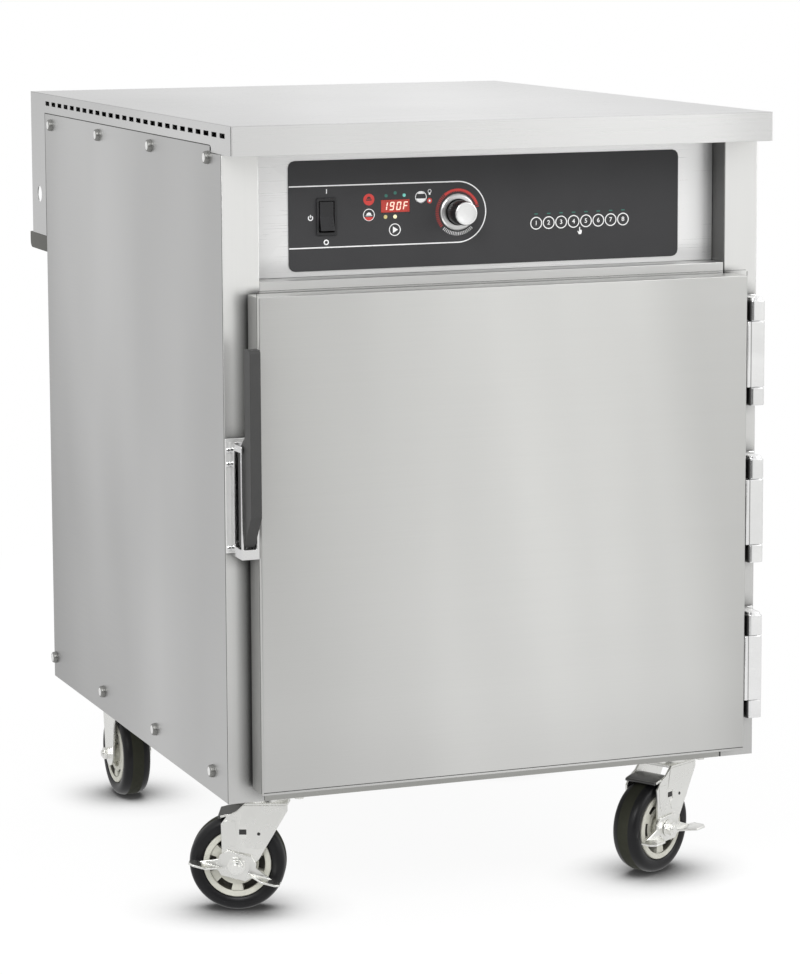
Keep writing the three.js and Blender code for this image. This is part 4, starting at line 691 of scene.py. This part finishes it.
def makeRepeatTree():
    tree = bpy.data.node_groups.new("repeatPattern", "GeometryNodeTree")
    for way in ("INPUT", "OUTPUT"):
        tree.interface.new_socket("Geometry", in_out=way, socket_type="NodeSocketGeometry")
    ids = {}
    for label, kind in (("Count", "Int"), ("First", "Vector"), ("Step", "Vector"), ("From", "Float"), ("Turn", "Float"),
                        ("Piece", "Object"), ("Material", "Material")):
        ids[label] = tree.interface.new_socket(label, in_out="INPUT", socket_type="NodeSocket" + kind).identifier
    given = tree.nodes.new("NodeGroupInput").outputs
    places = {"Count": given["Count"], "Start Location": given["First"], "Offset": given["Step"]}
    line = addNode(tree, "GeometryNodeMeshLine", places, mode="OFFSET")
    index = addNode(tree, "GeometryNodeInputIndex", {})
    angle = calc(tree, "MULTIPLY_ADD", index, given["Turn"], given["From"])
    turn = addNode(tree, "ShaderNodeCombineXYZ", {"Y": angle})
    piece = addNode(tree, "GeometryNodeObjectInfo", {0: given["Piece"]}, "Geometry")
    placed = addNode(tree, "GeometryNodeInstanceOnPoints", {"Points": line, "Instance": piece, "Rotation": turn})
    real = addNode(tree, "GeometryNodeRealizeInstances", {0: placed})
    painted = addNode(tree, "GeometryNodeSetMaterial", {"Geometry": real, "Material": given["Material"]})
    feed(tree, tree.nodes.new("NodeGroupOutput").inputs[0], painted)
    return tree, ids


repeatTree, repeatIds = makeRepeatTree()
unturned = {"Step": (0.0, 0.0, 0.0), "From": 0.0, "Turn": 0.0}


def rowOf(count, first, step=(0, 0, 0), **turns):
    x, y, z = first
    return {"Count": count, "First": (x * mm + middleX, y * mm, z * mm), "Step": tuple(v * mm for v in step), **turns}


def repeated(name, rows, pattern, material, body, replaced=(), smooth=32):
    patternMesh = bpy.data.meshes.new(name + "Pattern")
    pattern.normal_update()
    pattern.to_mesh(patternMesh)
    pattern.free()
    one = bpy.data.objects.new(name + "Pattern", patternMesh)
    host = bpy.data.objects.new(name + "Host", bpy.data.meshes.new(name + "Host"))
    scene.collection.objects.link(one)
    scene.collection.objects.link(host)
    joined = bmesh.new()
    for row in rows:
        modifier = host.modifiers.new("repeat", "NODES")
        modifier.node_group = repeatTree
        for label, value in {**unturned, **row, "Piece": one, "Material": finish[material]}.items():
            modifier[repeatIds[label]] = value
        host.update_tag()
        bpy.context.view_layer.update()
        made = bpy.data.meshes.new_from_object(host.evaluated_get(bpy.context.evaluated_depsgraph_get()))
        joined.from_mesh(made)
        bpy.data.meshes.remove(made)
        host.modifiers.remove(modifier)
    bpy.data.objects.remove(host)
    bpy.data.objects.remove(one)
    showPiece(name, joined, body, [material], replaced, smooth)


print("helpers ready")


# Folded sheet, hinges, levers and fittings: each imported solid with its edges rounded

for (label, radius), members in nodeFinish.items():
    for nodeName in members if radius else ():
        softened(nodeName, label, radius)
print("edges rounded")


# Side panels with their cap screws

sidePanel = {
    "outer": 387.5, "gauge": 1.5,
    "front": -443.2, "rear": 424.0, "low": 174.0, "high": 1049.0, "step": -397.2, "lobeLow": 1039.2,
    "screwRows": [(-386.9, 258.4, 1032.8), (-378.4, 264.3, 205.0)],      # first screw, pitch, height
    "screwCount": 4,
    "screwProfile": [(0, 5.9), (7.0, 5.9), (7.9, 5.1), (8.5, 3.6), (8.7, 1.8), (9.0, 0), (0, 0)],
    "faceProfile": [(0, 6.0), (5.4, 6.0), (6.9, 5.8), (7.6, 5.3), (7.0, 5.2), (0, 5.2)],
    "seamWide": 1.2, "seamProud": 0.2, "seamSunk": 0.3, "coverLow": 1049.3, "notchRadius": 4.5, "wingLow": 861.5,
}


def makeSidePanel(s, side, nodeName):
    outer, inner = side * s["outer"], side * (s["outer"] - s["gauge"])
    bm = bmesh.new()
    outline = [(s["front"], s["low"]), (s["rear"], s["low"]), (s["rear"], s["high"]), (s["step"], s["high"]),
               (s["step"], s["lobeLow"]), (s["front"], s["lobeLow"])]
    addPrism(bm, outline, "x", min(outer, inner), max(outer, inner))
    showPiece(nodeName + "_sheet", bm, "cabinet", ["sideSteel"], [nodeName], bevel=(0.5,))

    rows = [rowOf(s["screwCount"], (outer, first, height), (0, pitch, 0)) for first, pitch, height in s["screwRows"]]
    # each cap screw: a painted-shade wall and a painted-light face
    for part, label, profile in (("_cap_screws", "screwSteel", "screwProfile"), ("_cap_faces", "screwFace", "faceProfile")):
        pattern = bmesh.new()
        addLathe(pattern, [(r, side * w) for r, w in s[profile]], "x", unmoved, 20)
        repeated(nodeName + part, rows, pattern, label, "cabinet", smooth=50)

    seam = bmesh.new()             # the dark line where the sheet meets the post, the cover and the wing
    a, b = across(outer, side, s["seamSunk"], s["seamProud"])
    wide, r, z = s["seamWide"], s["notchRadius"], s["coverLow"]
    front, step, lobe = s["front"] - wide / 2, s["step"] - wide / 2, s["lobeLow"] + wide / 2
    ribbon(seam, [(front, s["low"]), (front, lobe), (step, lobe)], wide, a, b, axis="x")
    corner = arcPoints(step + r, z - r, r, 180, 90, 6)[1:]
    ribbon(seam, [(step, lobe), (step, z - r)] + corner + [(s["rear"], z), (s["rear"], s["wingLow"])], wide, a, b, axis="x")
    showPiece(nodeName + "_seam", seam, "cabinet", ["seamShade"])


makeSidePanel(sidePanel, -1, "left_side_panel")
makeSidePanel(sidePanel, 1, "right_side_panel")
print("side panels made")


# Cover corner seams

coverSeam = {"outer": 387.5, "back": -486.5, "wide": 1.3, "low": 1040.5, "high": 1077.8, "sunk": 0.3, "proud": 0.2}


def makeCoverSeams(s):
    bm = bmesh.new()
    for side in (-1, 1):
        a, b = across(side * s["outer"], side, s["sunk"], s["proud"])
        addBlock(bm, a, b, s["back"], s["back"] + s["wide"], s["low"], s["high"])
    showPiece("cover_corner_seams", bm, "cabinet", ["seamShade"])


makeCoverSeams(coverSeam)


# Folded edges of the door: dark lines beside its front face, painted reflection along the folds and painted shadow
# along the bottom

doorEdge = {
    "left": -356.0, "right": 351.0, "front": -494.0, "low": 194.0, "high": 864.4,
    "wide": 1.1, "inset": 3.2, "proud": 0.12, "sunk": 0.3, "corner": 2.0, "lowLine": (2.9, 3.9),
}


def makeDoorEdge(s):
    bm = bmesh.new()
    y, c = s["front"] + s["inset"], s["corner"]
    for x, side in ((s["left"], -1), (s["right"], 1)):
        a, b = across(x, side, s["sunk"], s["proud"])
        addBlock(bm, a, b, y, y + s["wide"], s["low"] + c, s["high"] - c)
    for z, side in ((s["low"], -1), (s["high"], 1)):
        a, b = across(z, side, s["sunk"], s["proud"])
        addBlock(bm, s["left"] + c, s["right"] - c, y, y + s["wide"], a, b)
    a, b = (s["low"] + rise for rise in s["lowLine"])
    # painted shadow line along the bottom of the door's front face
    addBlock(bm, s["left"] + c, s["right"] - c, s["front"] - s["proud"], s["front"] + s["sunk"], a, b)
    showPiece("door_edge_lines", bm, "door", ["seamShade"])


makeDoorEdge(doorEdge)


# Printed marks on the black sheet

markFinish = ["printWhite", "printRed", "printTeal", "printAmber", "overlayBlack", "lampTeal", "lampAmber"]
white, red, teal, amber, dark, lampTeal, lampAmber = range(len(markFinish))
panelPrint = {
    "face": -410.3, "proud": 0.16, "sunk": 0.05,
    "outlineHigh": 992.0, "outlineLow": 910.0, "outlineLeft": -283.2, "outlineTurnX": -43.3, "outlineWide": 1.6,
    "powerMark": (-253.0, 949.8), "powerWide": 1.3,
    "bars": [                      # left, right, low, high, finish, lift over the other marks
        (-230.8, -229.6, 981.6, 987.6, white, 0), (-253.6, -252.4, 950.0, 954.0, white, 0),
        (-174.4, -166.4, 970.3, 971.9, dark, 0.05), (-175.0, -165.8, 949.7, 950.5, white, 0.04),
    ],
    "rings": [                     # middle, outer and inner radius, finish, steps
        (-231.0, 916.8, 3.7, 2.1, white, 48), (-170.4, 951.3, 8.2, 7.2, white, 48), (-133.5, 930.2, 8.4, 7.2, white, 48),
        (-96.0, 972.5, 8.2, 7.3, white, 48), (-83.5, 980.2, 2.6, 1.9, white, 20), (-83.5, 967.5, 3.6, 1.8, red, 48),
    ],
    "discs": [                     # middle, radius, first and last angle, steps, finish, lift
        (-170.4, 971.7, 7.8, 0, 360, 36, red, 0), (-170.4, 972.7, 3.0, 0, 180, 12, dark, 0.05),
        (-170.4, 950.7, 7.0, 200, 340, 20, red, 0.02), (-170.4, 950.9, 3.6, 0, 180, 16, white, 0.04),
        (-96.0, 971.6, 7.4, 187, 353, 24, white, 0), (-96.0, 973.5, 6.2, 35, 145, 16, white, 0),
        (-145.8, 976.0, 2.3, 0, 360, 16, teal, 0), (-132.8, 979.5, 2.3, 0, 360, 16, teal, 0),
        (-120.0, 976.0, 2.3, 0, 360, 16, lampTeal, 0), (-146.8, 947.8, 2.7, 0, 360, 20, amber, 0),
        (-133.1, 947.7, 2.7, 0, 360, 20, lampAmber, 0), (-83.5, 967.5, 1.5, 0, 360, 12, white, 0),
    ],
    "shapes": [                    # middle, and the outline round it
        (-133.5, 930.2, [(-2.8, -4.4), (4.6, 0), (-2.8, 4.4)]),
        (-83.5, 979.0, [(-1.1, -3.6), (1.1, -3.6), (1.3, -1.4), (-1.3, -1.4)]),
        (136.4, 919.4, [(-0.9, 5), (0.5, 5), (0.6, 0.9), (1.5, 1.2), (2.7, 0.7), (3.1, -0.5), (2.8, -3), (1.9, -5),
                        (-1.5, -5), (-3.0, -2.2), (-3.5, -0.5), (-2.5, -0.5), (-0.9, -1.8)]),
    ],
    "presetFirst": (71.8, 931.6), "presetPitch": (18.44, 0.17), "presetCount": 8, "presetRadius": 8.7, "presetStroke": 1.35,
    "digitSize": 8.6, "digitDepth": 0.07, "digitWeight": 0.12, "digitSunk": 0.08, "dashLift": 12.6, "dashSize": (5.2, 1.5),
}


def addDigits(bm, text, s, x, z, y):
    curve = bpy.data.curves.new("digits", "FONT")
    curve.body, curve.size = text, s["digitSize"] * mm
    curve.align_x, curve.align_y = "CENTER", "CENTER"
    curve.extrude, curve.offset = s["digitDepth"] * mm, s["digitWeight"] * mm
    curve.resolution_u = 4
    holder = bpy.data.objects.new("digits", curve)
    scene.collection.objects.link(holder)
    mesh = bpy.data.meshes.new_from_object(holder.evaluated_get(bpy.context.evaluated_depsgraph_get()))
    bpy.data.objects.remove(holder)
    mesh.transform(placeAt(x, y, z) @ Matrix.Rotation(math.pi / 2, 4, "X"))
    first = len(bm.faces)
    bm.from_mesh(mesh)
    bm.faces.ensure_lookup_table()
    for face in bm.faces[first:]:
        face.material_index = white
    bpy.data.meshes.remove(mesh)


def makePanelPrint(s):
    y0, y1 = s["face"] - s["proud"], s["face"] + s["sunk"]
    bm = bmesh.new()
    high, low, left = s["outlineHigh"], s["outlineLow"], s["outlineLeft"]
    turn = arcPoints(s["outlineTurnX"], (high + low) / 2, (high - low) / 2, 90, -90, 40)
    ribbon(bm, [(left, high)] + turn + [(left, low)], s["outlineWide"], y0, y1)
    ribbon(bm, arcPoints(*s["powerMark"], 3.0, 125, 415, 30), s["powerWide"], y0, y1)
    for x0, x1, z0, z1, tag, lift in s["bars"]:
        addPrism(bm, [(x0, z0), (x1, z0), (x1, z1), (x0, z1)], "y", y0 - lift, y1, tag=tag)
    for x, z, outer, inner, tag, steps in s["rings"]:
        profile = [(inner, y0), (outer, y0), (outer, y1), (inner, y1)]
        addLathe(bm, profile, "y", placeAt(x, 0, z), steps, closed=True, tags=[tag] * len(profile))
    for x, z, radius, start, end, steps, tag, lift in s["discs"]:
        points = arcPoints(x, z, radius, start, end, steps)
        if end - start == 360:
            points.pop()
        addPrism(bm, points, "y", y0 - lift, y1, tag=tag)
    for x, z, outline in s["shapes"]:
        addPrism(bm, [(x + u, z + v) for u, v in outline], "y", y0, y1)
    (x, z), (pitchX, pitchZ) = s["presetFirst"], s["presetPitch"]
    for i in range(s["presetCount"]):
        addDigits(bm, str(i + 1), s, x + i * pitchX, z + i * pitchZ, y0 + s["digitSunk"])
    showPiece("panel_print", bm, "cabinet", markFinish)

    row = rowOf(s["presetCount"], (x, 0, z), (pitchX, 0, pitchZ))
    ring = bmesh.new()
    outer, inner = s["presetRadius"], s["presetRadius"] - s["presetStroke"]
    addLathe(ring, [(inner, y0), (outer, y0), (outer, y1), (inner, y1)], "y", unmoved, 40, closed=True)
    repeated("preset_rings", [row], ring, "printWhite", "cabinet")
    dash = bmesh.new()
    w, h = s["dashSize"]
    addBlock(dash, -w / 2, w / 2, y0, y1, s["dashLift"] - h / 2, s["dashLift"] + h / 2, unmoved)
    repeated("preset_dashes", [row], dash, "printTeal", "cabinet")


makePanelPrint(panelPrint)

displayDigits = {
    "middle": (-132.6, 962.0), "face": -410.5, "thick": 0.25, "pitch": 9.7, "width": 6.3, "height": 11.2, "stroke": 1.5,
    "slant": 0.17, "segments": {"1": "bc", "9": "abcdfg", "0": "abcdef", "F": "aefg"}, "shown": "190F",
}


def makeDisplayDigits(s):
    bm = bmesh.new()
    w, h, t = s["width"] / 2, s["height"] / 2, s["stroke"] / 2
    bars = {                       # each bar's box, in the digit's own measure
        "a": (-w + t, w - t, h - 2 * t, h), "d": (-w + t, w - t, -h, -h + 2 * t), "g": (-w + t, w - t, -t, t),
        "f": (-w, -w + 2 * t, t * 0.6, h - t), "b": (w - 2 * t, w, t * 0.6, h - t),
        "e": (-w, -w + 2 * t, -h + t, -t * 0.6), "c": (w - 2 * t, w, -h + t, -t * 0.6),
    }
    cx, cz = s["middle"]
    for i, sign in enumerate(s["shown"]):
        left = cx + (i - (len(s["shown"]) - 1) / 2) * s["pitch"]
        for bar in s["segments"][sign]:
            x0, x1, z0, z1 = bars[bar]
            corners = [(x0, z0), (x1, z0), (x1, z1), (x0, z1)]
            leaning = [(left + x + z * s["slant"], cz + z) for x, z in corners]
            addPrism(bm, leaning, "y", s["face"], s["face"] + s["thick"])
    showPiece("display_digits", bm, "cabinet", ["digitGlow"])


makeDisplayDigits(displayDigits)
print("panel prints made")


# Dial: ring, ticks, fluted knob and spun cap

dialSizes = {
    "middle": (-43.2, 951.0), "ringOuter": 25.0, "ringInner": 17.3, "ringBack": -410.6, "ringFront": -413.6,
    "knobBack": 16.8, "knobFront": 16.2, "knobFrom": -413.9, "knobTo": -440.9, "flutes": 36, "fluteDepth": 0.45,
    "shaftRadius": 4.0, "shaftTo": -404.8, "capRadius": 15.5, "capFrom": -440.9, "capTo": -444.0,
    "tickFrom": 27.0, "tickTo": 31.8, "tickWide": 0.8, "tickPitch": 5.0, "tickFace": -410.46, "tickBack": -410.25,
    "ticks": {                     # first angle, count, way round, finish
        "dial_ticks_red": (218, 42, -1, "printRed"),
        "dial_ticks_white": (228, 18, 1, "printWhite"),
    },
    "arcFrom": 20, "arcTo": 128, "arcOut": 0.4, "arcWide": 2.9, "arcProud": 0.03,
}


def makeDial(s):
    x, z = s["middle"]
    place = placeAt(x, 0, z)
    back, front, outer, inner = s["ringBack"], s["ringFront"], s["ringOuter"], s["ringInner"]
    bm = bmesh.new()
    addLathe(bm, [(inner, back), (outer, back), (outer, back - 0.9), (outer - 0.5, back - 1.6), (outer - 2.4, front + 0.2),
                  (outer - 3.2, front), (inner + 0.8, front), (inner, front + 0.6)], "y", place, closed=True)
    showPiece("dial_ring_turned", bm, "cabinet", ["spunDial"], ["dial_ring"])

    bm = bmesh.new()
    steps = s["flutes"] * 4
    rows = [(s["knobFrom"], s["knobBack"], 1), (s["knobTo"] + 1.2, s["knobFront"], 1), (s["knobTo"], s["knobFront"] - 0.9, 0)]
    rings = []
    for along, radius, cut in rows:
        ring = []
        for i in range(steps):
            angle = 2 * math.pi * i / steps
            r = radius - cut * s["fluteDepth"] * (0.5 - 0.5 * math.cos(angle * s["flutes"]))
            ring.append(bm.verts.new(place @ Vector((r * mm * math.cos(angle), along * mm, r * mm * math.sin(angle)))))
        rings.append(ring)
    faces = [bm.faces.new(rings[0]), bm.faces.new(rings[-1])]
    for a, b in zip(rings, rings[1:]):
        for i in range(steps):
            j = (i + 1) % steps
            faces.append(bm.faces.new((a[i], a[j], b[j], b[i])))
    bmesh.ops.recalc_face_normals(bm, faces=faces)
    inKnob, shaft, behind = s["knobFrom"] + 0.5, s["shaftRadius"], s["shaftTo"]
    addLathe(bm, [(0, inKnob), (shaft, inKnob), (shaft, behind), (0, behind)], "y", place, 24)
    showPiece("control_knob_fluted", bm, "knob", ["glossBlack"], ["control_knob"], smooth=50)

    bm = bmesh.new()
    r, a, b = s["capRadius"], s["capFrom"], s["capTo"]
    addLathe(bm, [(0, a), (r, a), (r, b + 1.5), (r - 0.25, b + 0.7), (r - 0.9, b + 0.15), (r - 1.8, b),
                  (r - 2.6, b + 0.25), (0, b + 0.35)], "y", place)
    showPiece("knob_cap_turned", bm, "knob", ["spunCap"], ["knob_cap"])

    for name, (start, count, way, label) in s["ticks"].items():
        tick, half = bmesh.new(), s["tickWide"] / 2
        addBlock(tick, s["tickFrom"], s["tickTo"], s["tickFace"], s["tickBack"], -half, half, unmoved)
        row = rowOf(count, (x, 0, z), From=-math.radians(start), Turn=-math.radians(s["tickPitch"] * way))
        repeated(name, [row], tick, label, "cabinet")
    bm = bmesh.new()
    middle = (s["tickFrom"] + s["tickTo"]) / 2 + s["arcOut"]
    arc = arcPoints(x, z, middle, s["arcTo"], s["arcFrom"], 40)
    ribbon(bm, arc, s["arcWide"], s["tickFace"] - s["arcProud"], s["tickBack"])
    showPiece("dial_arc", bm, "cabinet", ["printRed"])


makeDial(dialSizes)
print("dial made")


# Latch screws

latchScrews = {
    "x": -383.0, "heights": (651.6, 633.0, 520.9), "face": -447.8,
    "profile": [(0, -1.9), (2.0, -1.8), (3.2, -1.3), (3.8, -0.5), (4.0, 0.4), (0, 0.4)],
}


def makeLatchScrews(s):
    bm = bmesh.new()
    for height in s["heights"]:
        addLathe(bm, s["profile"], "y", placeAt(s["x"], s["face"], height), 24)
    showPiece("strike_screws", bm, "cabinet", ["chromePlate"], smooth=50)


makeLatchScrews(latchScrews)


# Shelves of round wire

wireShelf = {"wire": 1.9, "rod": 2.5, "wireCount": 12, "rodCount": 4}


def addWires(name, axis, radius, a, b, row, shelf, replaced=()):
    neck, curve = radius * 0.7, radius * 0.3
    pattern = bmesh.new()
    addLathe(pattern, [(0, a), (neck, a), (radius, a + curve), (radius, b - curve), (neck, b), (0, b)], axis, unmoved, 12)
    repeated(name, [row], pattern, "shelfWire", shelf, replaced, smooth=50)


def makeShelf(s, shelf):
    points = [v.co / mm for v in nodes[shelf].data.vertices]
    (x0, y0, z0), (x1, y1, z1) = [[pick(p[i] for p in points) for i in range(3)] for pick in (min, max)]
    r, w, middle = s["rod"], s["wire"], middleX / mm
    row = rowOf(s["wireCount"], (x0 + r - middle, 0, z1 - w), ((x1 - x0 - 2 * r) / (s["wireCount"] - 1), 0, 0))
    addWires(shelf + "_wires", "y", w, y0, y1, row, shelf, [shelf])
    row = rowOf(s["rodCount"], (-middle, y0 + r, z0 + r), (0, (y1 - y0 - 2 * r) / (s["rodCount"] - 1), 0))
    addWires(shelf + "_rods", "x", r, x0, x1, row, shelf)


makeShelf(wireShelf, "lower_shelf")
makeShelf(wireShelf, "upper_shelf")
print("shelves made")


# Casters

casterSizes = {
    "sideInset": 300.5, "frontY": -353.0, "rearY": 331.0, "top": 173.7, "trail": 42.0, "drop": 107.7,
    "leftTurn": -23.0, "rightTurn": 29.0,
    # Each ring of the wheel: half its outline, segments, finish of the middle face and of the rest
    "tyre": ([(46.8, 17.5), (48.4, 18.9), (51.0, 20.0), (54.5, 20.9), (58.2, 20.8), (61.4, 19.4), (63.6, 17.0), (65.0, 13.6),
              (65.7, 10.4), (66.0, 8.8)], 128, 1, 0),
    "coreRings": [
        ([(46.3, 18.8), (45.2, 19.8), (39.0, 19.8), (38.2, 18.8)], 128, 1, 0),
        ([(21.5, 16.4), (22.3, 17.4), (28.6, 17.4), (29.4, 16.6)], 96, 1, 0),
        ([(13.0, 12.0), (22.4, 12.0)], 72, 0, 0),
        ([(28.8, 4.0), (38.8, 4.0)], 72, 1, 1),
        ([(5.6, 24.7), (12.6, 24.7), (14.0, 23.4)], 72, 0, 0),
    ],
    "pocketCount": 6, "pocketShare": 0.58, "spokeInner": 28.4, "spokeOuter": 38.8, "spokeHalf": 17.4,
    "legFace": -28.2, "legSunk": 0.2, "pressProud": (0.6, 0.9),      # on the brake's side, on the other
    "hoodInner": 68.7, "hoodOuter": 72.4, "hoodFrom": 63.6, "hoodTo": 109.4, "hoodHalf": 25.0, "hoodLip": 2.2,
    "press": [(9.6, 84.0), (68.5, 84.0), (49.0, 40.0), (36.5, 23.0), (12.8, 24.5), (8.0, 37.0), (14.5, 39.5), (14.5, 53.0),
              (3.5, 55.5)],
    "brakePress": [(-17.5, 62.0), (-1.5, 62.0), (1.0, 40.0), (1.0, 26.0), (-10.5, 26.0), (-14.5, 29.5)],
    "darkSlot": [(3.8, 43.0), (13.8, 43.0), (13.8, 50.2), (3.8, 50.2)], "slotProud": 0.15,
    "smallHole": (30.6, 44.1, 2.3), "holeProud": 0.8,
    "boltRadius": 5.4, "washerRadius": 12.2, "washerFrom": -32.0, "washerTo": -33.4,
}


def axlePlace(s, side, front):
    if front:
        turn = s["leftTurn"] if side < 0 else s["rightTurn"]
        swivel = placeAt(side * s["sideInset"], s["frontY"], s["top"]) @ Matrix.Rotation(math.radians(turn), 4, "Z")
        return swivel @ Matrix.Translation((-s["trail"] * mm, 0, -s["drop"] * mm))
    return placeAt(side * s["sideInset"], s["rearY"], s["top"] - s["drop"]) @ Matrix.Rotation(math.pi / 2, 4, "Z")


def addWheelRing(bm, half, segments, middleTag, tag, place):
    profile = half + [(r, -w) for r, w in reversed(half)]
    tags = [tag] * len(profile)
    tags[len(half) - 1] = middleTag
    addLathe(bm, profile, "y", place, segments, closed=True, tags=tags)


def makeWheel(s, name, side, front):
    place, body = axlePlace(s, side, front), name + "_wheel"
    bm = bmesh.new()
    addWheelRing(bm, *s["tyre"], place)
    showPiece(name + "_tyre_moulded", bm, body, ["tyreRubber", "treadBrown"], [name + "_tyre"], smooth=60)

    bm = bmesh.new()
    for ring in s["coreRings"]:
        addWheelRing(bm, *ring, place)
    pitch = 360 / s["pocketCount"]
    pocketHalf = pitch * s["pocketShare"] / 2
    for i in range(s["pocketCount"]):
        start, end = i * pitch + pocketHalf, (i + 1) * pitch - pocketHalf
        outline = arcPoints(0, 0, s["spokeOuter"], start, end, 10) + arcPoints(0, 0, s["spokeInner"], end, start, 10)
        addPrism(bm, outline, "y", -s["spokeHalf"], s["spokeHalf"], place)
    showPiece(name + "_wheel_core_moulded", bm, body, ["coreResin", "coreShade"], [name + "_wheel_core"], smooth=40)


def makeFork(s, name, side):
    node, body = name + "_caster_fork", name + "_swivel"
    axle = axlePlace(s, side, True)
    softened(node, "zincPlate", 0.8, 2, 35)
    bm = bmesh.new()               # dark brake hood over the tyre, with a rolled lip at each end
    first, last, half = s["hoodFrom"], s["hoodTo"], s["hoodHalf"]
    around = arcPoints(0, 0, s["hoodOuter"], first, last, 14) + arcPoints(0, 0, s["hoodInner"], last, first, 14)
    addPrism(bm, around, "y", -half, half, axle)
    middle = (s["hoodOuter"] + s["hoodInner"]) / 2
    for angle in (first, last):
        u, v = middle * math.cos(math.radians(angle)), middle * math.sin(math.radians(angle))
        addPrism(bm, arcPoints(u, v, s["hoodLip"], 0, 345, 23), "y", -half, half, axle)
    showPiece(node + "_hood", bm, body, ["brakeGrey"])

    leg, sunk = abs(s["legFace"]), s["legSunk"]
    bm = bmesh.new()
    for way, proud in zip((-1, 1), s["pressProud"]):
        for outline in (s["press"], s["brakePress"])[:1 if way > 0 else 2]:
            addPrism(bm, outline, "y", way * (leg - sunk), way * (leg + proud), axle)
    showPiece(node + "_ribs", bm, body, ["zincPlate"], bevel=(0.8, 3, 30))
    # painted shade standing in for a slot and a small hole through the leg
    bm = bmesh.new()
    addPrism(bm, s["darkSlot"], "y", -leg + sunk, -leg - s["slotProud"], axle)
    addPrism(bm, arcPoints(*s["smallHole"], 0, 330, 11), "y", -leg + sunk, -leg - s["holeProud"], axle)
    showPiece(node + "_holes", bm, body, ["seamShade"])

    bm = mergedCopy(name + "_axle_bolt")
    bolt, washer, low, high = s["boltRadius"], s["washerRadius"], s["washerFrom"], s["washerTo"]
    profile = [(bolt, low), (washer, low), (washer, high + 0.3), (washer - 0.4, high), (bolt, high)]
    addLathe(bm, profile, "y", axle, 40, closed=True)
    showPiece(name + "_axle_bolt_rounded", bm, body, ["zincBright"], [name + "_axle_bolt"], bevel=(0.5,))


for name, side in (("front_left", -1), ("front_right", 1), ("rear_left", -1), ("rear_right", 1)):
    front = name.startswith("front")
    makeWheel(casterSizes, name, side, front)
    if front:
        makeFork(casterSizes, name, side)
print("casters made")


# Back: cord gland and panel screws

backFittings = {
    "gland": (-300.0, 943.0), "wall": 424.3, "panel": 424.0,
    "flange": [(0, 0), (20.0, 0), (20.0, 2.8), (18.8, 4.0), (0, 4.0)],
    "barrel": [(5.5, 3.0), (14.2, 3.0), (14.2, 12.5), (13.4, 13.5), (13.0, 18.0), (11.6, 21.8), (9.0, 23.8), (6.4, 24.0),
               (5.5, 23.2)],
    "nutRadius": 17.3, "nutFrom": 4.0, "nutTo": 11.5,
    "screwX": 372.0, "screwFirst": 214.0, "screwPitch": 160.0, "screwCount": 6,
    "screwProfile": [(0, 1.9), (2.2, 1.8), (3.6, 1.2), (4.2, 0.4), (4.3, -0.2), (0, -0.2)],
}


def makeBack(s):
    x, z = s["gland"]
    place = placeAt(x, s["wall"], z)
    bm = bmesh.new()
    addLathe(bm, s["flange"], "y", place, 64)
    addPrism(bm, arcPoints(0, 0, s["nutRadius"], 0, 300, 5), "y", s["nutFrom"], s["nutTo"], place)
    addLathe(bm, s["barrel"], "y", place, 48, closed=True)
    showPiece("cord_inlet_gland", bm, "cabinet", ["gasketRubber"], ["cord_inlet"], smooth=35)
    pattern = bmesh.new()
    addLathe(pattern, s["screwProfile"], "y", Matrix.Translation((0, s["panel"] * mm, 0)), 20)
    rows = [rowOf(s["screwCount"], (side * s["screwX"], 0, s["screwFirst"]), (0, 0, s["screwPitch"])) for side in (-1, 1)]
    repeated("back_panel_screws", rows, pattern, "screwSteel", "cabinet", smooth=50)


makeBack(backFittings)
print("back fittings made")
